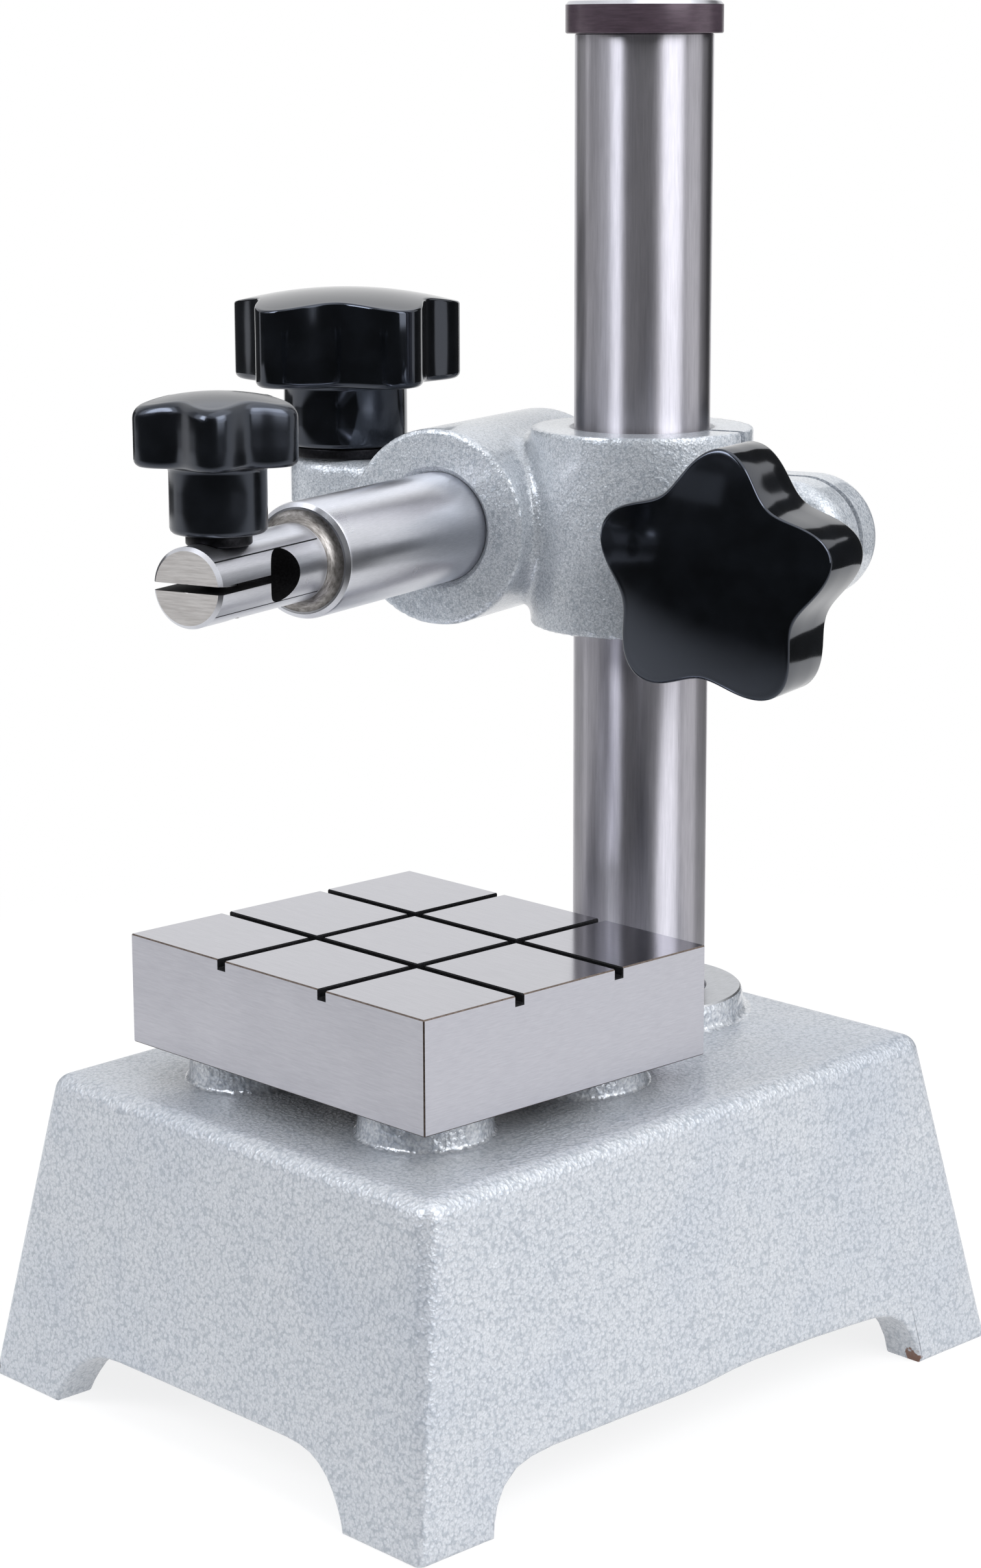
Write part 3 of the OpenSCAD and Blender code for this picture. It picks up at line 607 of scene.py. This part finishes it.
def make_base_bosses():
    """Four pads that carry the table and the seat round the column's foot, each flared into the top."""
    pad_top = table_low[2]
    for x in (-20, 20):
        for y in (-33.84, -0.64):
            ground = base_top_z(y)
            profile = [(0, roof_z + 1), (9, roof_z + 1), (11.1, ground - 0.9)]
            profile += arc((11.35, ground + 0.85), 0.9, -100, -172, 6)
            profile += arc((9.55, pad_top - 0.6), 0.6, 4, 90, 5) + [(0, pad_top)]
            pad = lathe("table_pad", profile, None, 64)
            for vertex in pad.data.vertices:
                vertex.co.x += x * MM
                vertex.co.y += y * MM
            lean_with_top(pad, y, ground, ground + 2)
            smooth(pad, 40)
            dress(pad, "base", [pad_enamel], "base_enamel")
    y = column_at[1]
    ground = base_top_z(y)
    seat_top = base_high[2]
    profile = [(0, 26), (16.9, 26), (17.3, roof_z + 1), (18.9, ground - 0.7)]
    profile += arc((18.9, ground + 1.4), 1.4, -90, -172, 8)
    profile += [(17.4, seat_top - 0.7), (17.15, seat_top - 0.25), (16.9, seat_top), (11.4, seat_top),
                (11.05, seat_top - 0.4), (0, seat_top - 0.4)]
    seat = lathe("column_seat", profile)
    for vertex in seat.data.vertices:
        vertex.co.y += y * MM
    lean_with_top(seat, y, ground, ground + 2)
    smooth(seat, 30)
    dress(seat, "base", [pad_enamel, bare_iron], "base_enamel")
    machined = 1
    for face in seat.data.polygons:
        if face.center.z > (seat_top - 0.2) * MM:
            face.material_index = machined


def make_table():
    """Steel block with two grooves each way, its edges just broken."""
    low, high = table_low, table_high
    middle = (low + high) / 2
    table = block(low, high, name="measuring_table_block")
    groove_x, groove_y, groove_half, depth = 11.7, 10.5, 0.75, 1.5
    for axis, across in ((0, -groove_x), (0, groove_x), (1, -groove_y), (1, groove_y)):
        start, end = low - 1, high + 1
        start[2] = high[2] - depth
        start[axis] = middle[axis] + across - groove_half
        end[axis] = middle[axis] + across + groove_half
        cut(table, block(start, end))
    # Slot 2 holds the dark steel painted on the underside and edges, slot 3 the painted shade of the grooves
    lapped, edge, dark = 1, 2, 3
    finishes = [table_ground, table_lapped, edge_shade_steel, recess_shade_steel]
    dress(table, "base", finishes, "table_steel", "measuring_table")
    for face in table.data.polygons:
        centre = np.array(face.center) / MM
        outside = np.isclose(centre, low).any() or np.isclose(centre[:2], high[:2]).any()
        if face.normal.z > 0.9 and centre[2] > high[2] - 0.1:
            face.material_index = lapped
        # Painted shade: the underside takes the dark brown steel
        elif face.normal.z < -0.9:
            face.material_index = edge
        # Painted shade: the grooves' floors and walls take the nearly black steel
        elif face.normal.z > 0.9 or not outside:
            face.material_index = dark
    bevel = table.modifiers.new("edge", "BEVEL")
    bevel.width = 0.2 * MM
    bevel.segments = 1
    bevel.limit_method = "ANGLE"
    # Painted dark line: the broken edges take the same dark brown steel
    bevel.material = edge
    apply_modifiers(table)
    for face in table.data.polygons:
        x, y, _ = np.array(face.center) / MM - middle
        by_groove = abs(abs(x) - groove_x) < 1 or abs(abs(y) - groove_y) < 1
        # Painted shade: the broken edges along the grooves turn nearly black too
        if face.material_index == edge and by_groove:
            face.material_index = dark


def make_column():
    upright = place(column_at, UP, (1, 0, 0))
    bottom, top = column_low[2], column_high[2]
    column_r = 11.0
    profile = [(0, bottom), (column_r - 0.6, bottom), (column_r, bottom + 0.6), (column_r, top - 0.2),
               (column_r - 0.2, top), (0, top)]
    column = lathe("ground_column", profile, upright, 192)
    smooth(column)
    dress(column, "column", [column_ground], "column_steel", "column")
    low, high = column_high[2], cap_high[2]
    cap_r = 12.5
    profile = [(0, low), (11.2, low)] + arc((cap_r - 0.3, low + 0.3), 0.3, -90, 0, 3)
    profile += [(cap_r, high - 0.55), (cap_r - 0.5, high), (11.4, high), (11.2, high - 0.12), (10.9, high),
                (0, high)]
    cap = lathe("column_stop_cap", profile, upright, 160)
    smooth(cap, 25)
    dress(cap, "column", [cap_black, bar_turned], "cap_steel", "column_cap")
    bright = 1
    for face in cap.data.polygons:
        if 0.3 < face.normal.z < 0.9:
            face.material_index = bright


# Clamp head: a distance field in the head's own axes, and a mesh over its surface
collar_low, collar_high = head_low[2], head_high[2]
collar_r, boss_r, boss_half = 18.0, 16.0, 18.7
boss_x, boss_z = in_head(bar_at)[0], bar_at[2]
side_ear_x, side_ear_z = in_head(side_clamp_at)[0], side_clamp_at[2] + 2.1
top_ear_x = in_head(top_clamp_at)[0]
side_ear_r, top_ear_r, ear_half = 10.0, 9.45, 8.5
slit_half = 0.75
# Radii of the bores
column_bore, bar_bore, stud_bore = 11.05, 9.05, 4.4


def rounded_slab(flat_distance, height, half, rim):
    """Distance to a flat outline given a thickness, with rounded rims."""
    across = flat_distance + rim
    along = np.abs(height) - (half - rim)
    return (np.minimum(np.maximum(across, along), 0)
            + np.sqrt(np.maximum(across, 0) ** 2 + np.maximum(along, 0) ** 2) - rim)


def joined(a, b, size):
    """Union of two distances with a fillet of about that size where they meet."""
    share = np.clip(0.5 + 0.5 * (b - a) / size, 0, 1)
    return b + (a - b) * share - size * share * (1 - share)


def head_distance(p):
    """Distance to the head's casting before it is bored and slit: collar, boss and two pairs of ears."""
    x, y, z = p[..., 0], p[..., 1], p[..., 2]
    collar = rounded_slab(np.hypot(x, y) - collar_r, z - (collar_low + collar_high) / 2,
                          (collar_high - collar_low) / 2, 0.5)
    boss = rounded_slab(np.hypot(x - boss_x, z - boss_z) - boss_r, y, boss_half, 0.7)
    near = np.clip(x, 8.0, side_ear_x)
    side_ears = rounded_slab(np.hypot(x - near, z - side_ear_z) - side_ear_r, y, ear_half, 3.4)
    near = np.clip(x, top_ear_x, boss_x)
    top_ears = rounded_slab(np.hypot(x - near, y) - top_ear_r, z - boss_z, ear_half, 2.4)
    whole = joined(collar, boss, 4.0)
    whole = joined(whole, side_ears, 3.0)
    return joined(whole, top_ears, 2.6)


def field_mesh(distance, low, high, step):
    """Quads round the zero level of a distance function: one point for each cell that the surface crosses."""
    axes = [np.arange(a, b + step, step) for a, b in zip(low, high)]
    grid = np.stack(np.meshgrid(*axes, indexing="ij"), axis=-1)
    value = distance(grid)
    inside = value < 0
    corners = [(i, j, k) for i in (0, 1) for j in (0, 1) for k in (0, 1)]
    shape = np.array(value.shape) - 1

    def corner(c, array):
        return array[c[0]:c[0] + shape[0], c[1]:c[1] + shape[1], c[2]:c[2] + shape[2]]

    # Each crossed cell gets the mean of the places where the surface cuts its edges
    count = sum(corner(c, inside).astype(int) for c in corners)
    crossed = (count > 0) & (count < 8)
    number = np.full(shape, -1)
    number[crossed] = np.arange(crossed.sum())
    total = np.zeros((int(crossed.sum()), 3))
    hits = np.zeros(int(crossed.sum()))
    for a in corners:
        for b in corners:
            if a < b and sum(np.abs(np.array(a) - b)) == 1:
                va, vb = corner(a, value)[crossed], corner(b, value)[crossed]
                change = (va < 0) != (vb < 0)
                share = np.where(change, va / np.where(change, va - vb, 1), 0)
                spot = np.array(a) + share[:, None] * (np.array(b) - a)
                total[change] += spot[change]
                hits[change] += 1
    points = (np.argwhere(crossed) + total / hits[:, None]) * step + [axis[0] for axis in axes]
    # Each grid edge that the surface cuts gets a quad between the four cells round it
    faces = []
    for axis in range(3):
        u, v = (axis + 1) % 3, (axis + 2) % 3
        behind = np.delete(inside, -1, axis)
        ahead = np.delete(inside, 0, axis)
        spots = np.argwhere(behind != ahead)
        ok = (spots[:, u] > 0) & (spots[:, v] > 0) & (spots[:, u] < shape[u]) & (spots[:, v] < shape[v])
        spots = spots[ok]
        quad = []
        for du, dv in ((-1, -1), (0, -1), (0, 0), (-1, 0)):
            cell = spots.copy()
            cell[:, u] += du
            cell[:, v] += dv
            quad.append(number[cell[:, 0], cell[:, 1], cell[:, 2]])
        quad = np.stack(quad, axis=1)
        out = behind[tuple(spots.T)]
        quad[~out] = quad[~out][:, ::-1]
        faces.append(quad)
    return points, np.concatenate(faces)


def onto_surface(points, distance, rounds=3):
    """Moves points along the field's slope until they lie on its zero level."""
    tiny = 0.01
    for _ in range(rounds):
        value = distance(points)
        slope = []
        for axis in tiny * np.eye(3):
            slope.append((distance(points + axis) - distance(points - axis)) / (2 * tiny))
        slope = np.stack(slope, axis=1)
        steepness = np.maximum((slope ** 2).sum(axis=1), 0.2)
        points = points - value[:, None] * slope / steepness[:, None]
    return points


def make_head():
    step = 0.6
    low = (top_ear_x - 12, -21.1, collar_low - 3)
    high = (side_ear_x + 13, 21, collar_high + 3)
    points, faces = field_mesh(head_distance, low, high, step)
    points = onto_surface(points, head_distance)
    head = new_object("cast_clamp_head", points, faces, head_frame)
    cut(head, drill(chamfered_hole(column_bore, collar_high, collar_low, 0.7), head_frame))
    cut(head, drill(chamfered_hole(bar_bore, -boss_half, boss_half, 0.9), bar_frame))
    # A slit on each side of the bores, and the hole for the top clamp's stud
    cut(head, block((5, -slit_half, collar_low - 2), (side_ear_x + 14, slit_half, collar_high + 2),
                    head_frame))
    cut(head, block((top_ear_x - 13, -22, boss_z - slit_half), (boss_x, 22, boss_z + slit_half), head_frame))
    top_ears = place((top_clamp_at[0], top_clamp_at[1], boss_z), UP, head_right)
    cut(head, drill([(stud_bore, -10), (stud_bore, 10)], top_ears, 48))
    smooth(head, 38)
    dress(head, "head", [head_enamel, bare_iron], "head_enamel", "clamp_head")
    machined = 1
    for face in head.data.polygons:
        x, y, z = np.array(face.center) / MM
        in_column_bore = math.hypot(x, y) < column_bore + 0.9
        in_bar_bore = math.hypot(x - boss_x, z - boss_z) < bar_bore + 0.3 and abs(y) < boss_half + 1
        if in_column_bore or in_bar_bore:
            face.material_index = machined


def make_crossbar():
    """Bar with a turned-down tip that is drilled across for the gauge and slit from its end."""
    back = -50.9
    shoulder = 59.6
    end = shoulder + 30.5
    gauge = shoulder + 13.4
    screw = shoulder + 21.9
    bar_r, tip_r, root = 9, 6, 2.2
    gauge_r, spot_r, screw_r, slit = 4.0, 5.1, 2.7, 0.6
    profile = [(0, back), (bar_r - 0.6, back), (bar_r, back + 0.6), (bar_r, shoulder - 0.9),
               (8.85, shoulder - 0.45), (tip_r + root, shoulder)]
    profile += arc((tip_r + root, shoulder + root), root, -90, -180, 10)
    profile += [(tip_r, end - 0.55), (5.45, end), (0.7, end), (0, end - 0.6)]
    bar = lathe("turned_crossbar", profile, bar_frame, 160)
    across = bar_frame @ Matrix.Translation((0, 0, gauge * MM)) @ Matrix.Rotation(math.radians(90), 4, "Y")
    upright = bar_frame @ Matrix.Translation((0, 0, screw * MM)) @ Matrix.Rotation(math.radians(-90), 4, "X")
    cut(bar, drill([(gauge_r, -8), (gauge_r, 8)], across))
    cut(bar, block((-8, -slit, gauge), (8, slit, end + 2), bar_frame))
    cut(bar, drill([(spot_r, 5.4), (spot_r, 9)], upright, 64))
    cut(bar, drill([(screw_r, -9), (screw_r, 9)], upright, 48))
    smooth(bar, 28)
    dress(bar, "crossbar", [bar_turned, faced_steel, root_crease_shade, recess_shade_steel], "bar_steel", "crossbar")
    # Slot 2 holds the painted shade in the shoulder's fillet, slot 3 the painted shade in the holes and the
    # slit
    faced, root_shade, dark = 1, 2, 3
    for face in bar.data.polygons:
        x, y, z = np.array(face.center) / MM
        in_bore = math.hypot(y, z - gauge) < gauge_r + 0.05
        in_slit = abs(y) < slit + 0.05 and z > gauge and abs(face.normal.y) > 0.9
        in_screw_hole = math.hypot(x, z - screw) < screw_r + 0.05 and abs(y) < 5.4
        # Painted shade: the bore, the slit and the screw hole take the nearly black steel
        if in_bore or in_slit or in_screw_hole:
            face.material_index = dark
        elif z > end - 0.7 and math.hypot(x, y) < 5.4:
            face.material_index = faced
        # Painted shade: the fillet in the shoulder's crease takes the darker steel
        elif shoulder + 0.02 < z < shoulder + root and math.hypot(x, y) > tip_r + 0.03:
            face.material_index = root_shade


# Star knobs, in millimetres: radius over the lobes, the hub's radius and height, the star's height at its
# wall, the rise of its domed face, and the rounding of its upper and lower rim
large_star = {"size": 20, "hub": 10.45, "hub_h": 10.7, "star_h": 12.8, "dome": 2.8, "rim": 0.6, "under": 1.1}
small_star = {"size": 12.4, "hub": 7.2, "hub_h": 10, "star_h": 8.4, "dome": 2.1, "rim": 2.1, "under": 1.2}


def make_knob(name, matrix, turn, body, material, node, size, hub, hub_h, star_h, dome, rim, under):
    """Rings from the hub's foot, out under the star, up its side, over the rim and in across the dome."""
    turns = np.linspace(0, 2 * math.pi, 240, endpoint=False)
    spin = turns + math.radians(turn)
    # Five round lobes
    star = size / 1.15 * (1 + 0.144 * np.cos(5 * turns) + 0.006 * np.cos(10 * turns))
    dome_r = (size ** 2 + dome ** 2) / (2 * dome)
    dome_low = hub_h + star_h + dome - dome_r
    edge, fillet = 0.9, 0.9
    # The upper rim's arc is a little low, so that it runs into the dome
    squat = 0.93

    def face_z(radius):
        return dome_low + np.sqrt(dome_r ** 2 - radius ** 2)

    def ring(radius, z):
        radius = np.zeros_like(turns) + radius
        return np.stack([radius * np.cos(spin), radius * np.sin(spin), np.zeros_like(turns) + z], axis=1)

    rings = [ring(hub - edge - 1.5, 0), ring(hub - edge, 0)]
    rings += [ring(hub - edge * (1 - s), edge * (1 - c)) for s, c in rounding((30, 60, 90))]
    rings += [ring(hub, hub_h * share + edge * (1 - share)) for share in (0.3, 0.6)]
    rings.append(ring(hub, hub_h - fillet))
    rings += [ring(hub + fillet * (1 - c), hub_h - fillet * (1 - s)) for s, c in rounding((30, 60, 90))]
    start = hub + fillet
    rings += [ring(start + (star - under - start) * share, hub_h) for share in (0.35, 0.7, 1)]
    rings += [ring(star - under * (1 - s), hub_h + under * (1 - c)) for s, c in rounding((22, 45, 67, 90))]
    wall_low = hub_h + under
    wall_top = face_z(star - rim) - rim * squat
    rings += [ring(star, wall_low + (wall_top - wall_low) * share) for share in (0.33, 0.66)]
    for s, c in rounding((0, 15, 30, 45, 60, 78)):
        rings.append(ring(star - rim * (1 - c), wall_top + rim * s * squat))
    for share in (0.985, 0.95, 0.88, 0.78, 0.66, 0.54, 0.42, 0.3, 0.18, 0.06):
        rings.append(ring((star - rim) * share, face_z((star - rim) * share)))
    knob = loft(name, rings, matrix)
    smooth(knob, 60)
    dress(knob, body, [material], "knob_plastic", node)


def make_washer(name, outer, thick, matrix, body, node):
    """Flat ring with its outer edges rounded."""
    rim = 0.3
    inner = outer - 2.5
    profile = [(inner, 0)] + arc((outer - rim, rim), rim, -90, 0, 3)
    profile += arc((outer - rim, thick - rim), rim, 0, 90, 3) + [(inner, thick)]
    washer = lathe(name, profile, matrix, 96)
    smooth(washer)
    dress(washer, body, [screw_black], "blackened_steel", node)


# Clamps: washer and knob, the CAD's name for the clamp, its place and axis, the washer's radius and
# thickness, the knob's shape, how far it is turned in degrees, and its finish
clamps = [
    ("side_clamp_washer", "side_star_knob", "column_clamp", side_clamp_at, head_forward, 9.6, 1.8,
     large_star, 14, knob_gloss),
    ("top_clamp_washer", "top_star_knob", "bar_clamp", top_clamp_at, UP, 9.6, 1.8,
     large_star, 44.5, knob_gloss),
    ("tip_clamp_collar", "tip_star_knob", "tip_clamp", tip_clamp_at, UP, 4.9, 1.7,
     small_star, 12, knob_soft),
]


def make_clamps():
    for washer, knob, clamp, at, axis, outer, thick, star, turn, material in clamps:
        on_ear = place(at, axis, head_right)
        on_washer = place(at + axis * thick, axis, head_right)
        make_washer(washer, outer, thick, on_ear, clamp + "_ring", clamp + "_washer")
        make_knob(knob, on_washer, turn, clamp + "_handle", material, clamp + "_knob", **star)


def dress_nodes():
    """The CAD nodes that stay get their finishes."""
    blackened = ("table_screws", "column_bolt", "bar_stop_screw")
    plated = ("table_spring_washers", "column_washer", "column_spring_washer", "bar_stop_washer",
              "column_clamp_stud", "bar_clamp_stud", "tip_clamp_stud")
    for names, material in ((blackened, screw_black), (plated, plain_steel)):
        for name in names:
            node = frame["nodes"][name]
            node.data.materials.clear()
            node.data.materials.append(material)


# Studio
def seen_share(tree):
    """1 for what the camera sees, also in metal and through glass, and 0 for what lights the object."""
    rays = add(tree, "ShaderNodeLightPath")
    seen = rays.outputs["Is Camera Ray"]
    for kind in ("Is Glossy Ray", "Is Transmission Ray"):
        seen = add(tree, "ShaderNodeMath", {0: seen, 1: rays.outputs[kind]}, operation="MAXIMUM").outputs[0]
    return seen


def make_floor():
    """Paper sheet: lit near the object, where its shadow falls, and even white further out."""
    half = 3000.0
    shadow_ends, white_starts = 0.14, 0.34
    floor = new_object("floor", [(-half, -half, 0), (half, -half, 0), (half, half, 0), (-half, half, 0)],
                       [(0, 1, 2, 3)])
    material, tree = new_material("white_paper")
    place_in = add(tree, "ShaderNodeTexCoord").outputs["Object"]
    away = add(tree, "ShaderNodeVectorMath", {0: place_in}, operation="LENGTH")
    far = add(tree, "ShaderNodeMapRange", {"Value": away.outputs["Value"]}, interpolation_type="SMOOTHSTEP",
              From_Min=shadow_ends, From_Max=white_starts)
    seen = seen_share(tree)
    paper = add(tree, "ShaderNodeBsdfDiffuse", Color=linear("#8c8c8c"))
    near_glow = add(tree, "ShaderNodeMapRange", {"Value": seen}, To_Min=0.55, To_Max=0.8)
    glow = add(tree, "ShaderNodeEmission", {"Strength": near_glow.outputs[0]}, Color=WHITE)
    lit = add(tree, "ShaderNodeAddShader", {0: paper.outputs[0], 1: glow.outputs[0]})
    far_glow = add(tree, "ShaderNodeMapRange", {"Value": seen}, To_Min=0.7, To_Max=1.0)
    white = add(tree, "ShaderNodeEmission", {"Strength": far_glow.outputs[0]}, Color=WHITE)
    mix = add(tree, "ShaderNodeMixShader", {"Fac": far.outputs[0], 1: lit.outputs[0], 2: white.outputs[0]})
    add(tree, "ShaderNodeOutputMaterial", {"Surface": mix.outputs[0]})
    floor.data.materials.append(material)


def make_world():
    """White where it is seen, and a plain pale light on the object."""
    world = bpy.data.worlds.new("studio")
    bpy.context.scene.world = world
    world.use_nodes = True
    tree = world.node_tree
    tree.nodes.clear()
    room = add(tree, "ShaderNodeBackground", Color=linear("#eef1f5"), Strength=0.5)
    white = add(tree, "ShaderNodeBackground", Color=WHITE, Strength=1.0)
    mix = add(tree, "ShaderNodeMixShader", {0: seen_share(tree), 1: room.outputs[0], 2: white.outputs[0]})
    add(tree, "ShaderNodeOutputWorld", {"Surface": mix.outputs[0]})


def camera_azimuth(angle):
    """Direction from the column at that many degrees to the right of the camera, as world radians."""
    away = camera_at - column_at
    return math.atan2(away[1], away[0]) + math.radians(angle)


def show_in_reflections_only(obj):
    obj.visible_camera = False
    obj.visible_diffuse = False
    obj.visible_transmission = False
    obj.visible_shadow = False


def standing_card(name, start, end, low, high, radius, light):
    """Dark card or lit sheet that only reflections see. It stands round the object between two angles, in
    degrees to the right of the camera, and between two heights, at a radius in millimetres."""
    verts = []
    step = 4.0
    for angle in np.arange(start, end, step):
        a, b = camera_azimuth(angle), camera_azimuth(min(angle + step, end))
        left = column_at[:2] + radius * np.array([math.cos(a), math.sin(a)])
        right = column_at[:2] + radius * np.array([math.cos(b), math.sin(b)])
        verts += [(*left, low), (*right, low), (*right, high), (*left, high)]
    card = new_object(name, verts, [tuple(range(i, i + 4)) for i in range(0, len(verts), 4)])
    material, tree = new_material(name + "_sheet")
    sheet = add(tree, "ShaderNodeEmission", Color=linear("#f9fbff"), Strength=light)
    add(tree, "ShaderNodeOutputMaterial", {"Surface": sheet.outputs[0]})
    card.data.materials.append(material)
    show_in_reflections_only(card)


def softbox(name, azimuth, elevation, distance, width, height, power):
    """Area lamp aimed at the column: azimuth from the camera and elevation in degrees, sizes in metres."""
    towards = camera_azimuth(azimuth)
    tilt = math.radians(elevation)
    aim = Vector((0, column_at[1] * MM, 0.11))
    level = distance * math.cos(tilt)
    at = aim + Vector((level * math.cos(towards), level * math.sin(towards), distance * math.sin(tilt)))
    data = bpy.data.lights.new(name, "AREA")
    data.shape = "RECTANGLE"
    data.size = width
    data.size_y = height
    data.energy = power
    lamp = bpy.data.objects.new(name, data)
    bpy.context.scene.collection.objects.link(lamp)
    lamp.location = at
    lamp.rotation_euler = (aim - at).to_track_quat("-Z", "Y").to_euler()
    return lamp


def make_room_floor():
    """The room's dark floor beyond the edge of the white paper. Only reflections see it."""
    left, right = np.array([-265.0, -446.0]), np.array([58.0, -189.0])
    along = (right - left) / np.linalg.norm(right - left)
    beside, beyond, blend = 1800, 1800, 100
    corners = [(-beside, -blend, 0), (beside, -blend, 0), (beside, beyond, 0), (-beside, beyond, 0)]
    floor = new_object("room_floor", corners, [(0, 1, 2, 3)], place((*left, 1), (0, 0, -1), (*along, 0)))
    material, tree = new_material("dark_room")
    place_in = add(tree, "ShaderNodeTexCoord").outputs["Object"]
    across = add(tree, "ShaderNodeSeparateXYZ", {"Vector": place_in}).outputs["Y"]
    light = add(tree, "ShaderNodeMapRange", {"Value": across}, interpolation_type="SMOOTHSTEP",
                From_Min=-blend * MM, From_Max=blend * MM, To_Min=1.0, To_Max=0.03)
    glow = add(tree, "ShaderNodeEmission", {"Strength": light.outputs[0]}, Color=WHITE)
    add(tree, "ShaderNodeOutputMaterial", {"Surface": glow.outputs[0]})
    floor.data.materials.append(material)
    show_in_reflections_only(floor)


def make_studio():
    make_floor()
    make_room_floor()
    make_world()
    # The dark wall behind the camera, and the flags that give the steel its dark bands
    standing_card("room_wall", -104, 79, 0, 1500, 1400, 0.05)
    standing_card("left_flag", -150, -112, 0, 420, 900, 0.06)
    standing_card("right_flag", 136, 156, 0, 560, 440, 0.05)
    standing_card("right_low_flag", 110, 136, 0, 300, 440, 0.04)
    # Lit sheets: behind and above for the knobs' domes, and at both sides for the column's bright bands
    standing_card("back_card", 158, 206, 680, 2200, 900, 1.5)
    standing_card("left_panel", -106, -84, 340, 1300, 1000, 0.5)
    standing_card("left_glow", -84, -61, 420, 1300, 1000, 1.9)
    standing_card("left_haze", -62, -46, 300, 420, 950, 0.4)
    standing_card("left_strip", -61, -39.5, 520, 1300, 900, 10.5)
    standing_card("right_strip", 33, 73, 330, 1300, 900, 3.6)
    softbox("left_softbox", -82, 20, 1.0, 0.4, 0.7, 5.0).visible_glossy = False
    softbox("right_softbox", 50, 28, 1.0, 0.7, 1.0, 6.7)
    softbox("front_softbox", 12, 28, 1.0, 0.4, 0.4, 1.2).visible_glossy = False
    softbox("top_softbox", 70, 70, 1.2, 1.2, 1.2, 4.6)


make_camera()
make_base_shell()
make_base_bosses()
make_table()
make_column()
make_head()
make_crossbar()
make_clamps()
dress_nodes()
make_studio()
bpy.context.scene.view_settings.view_transform = "Standard"
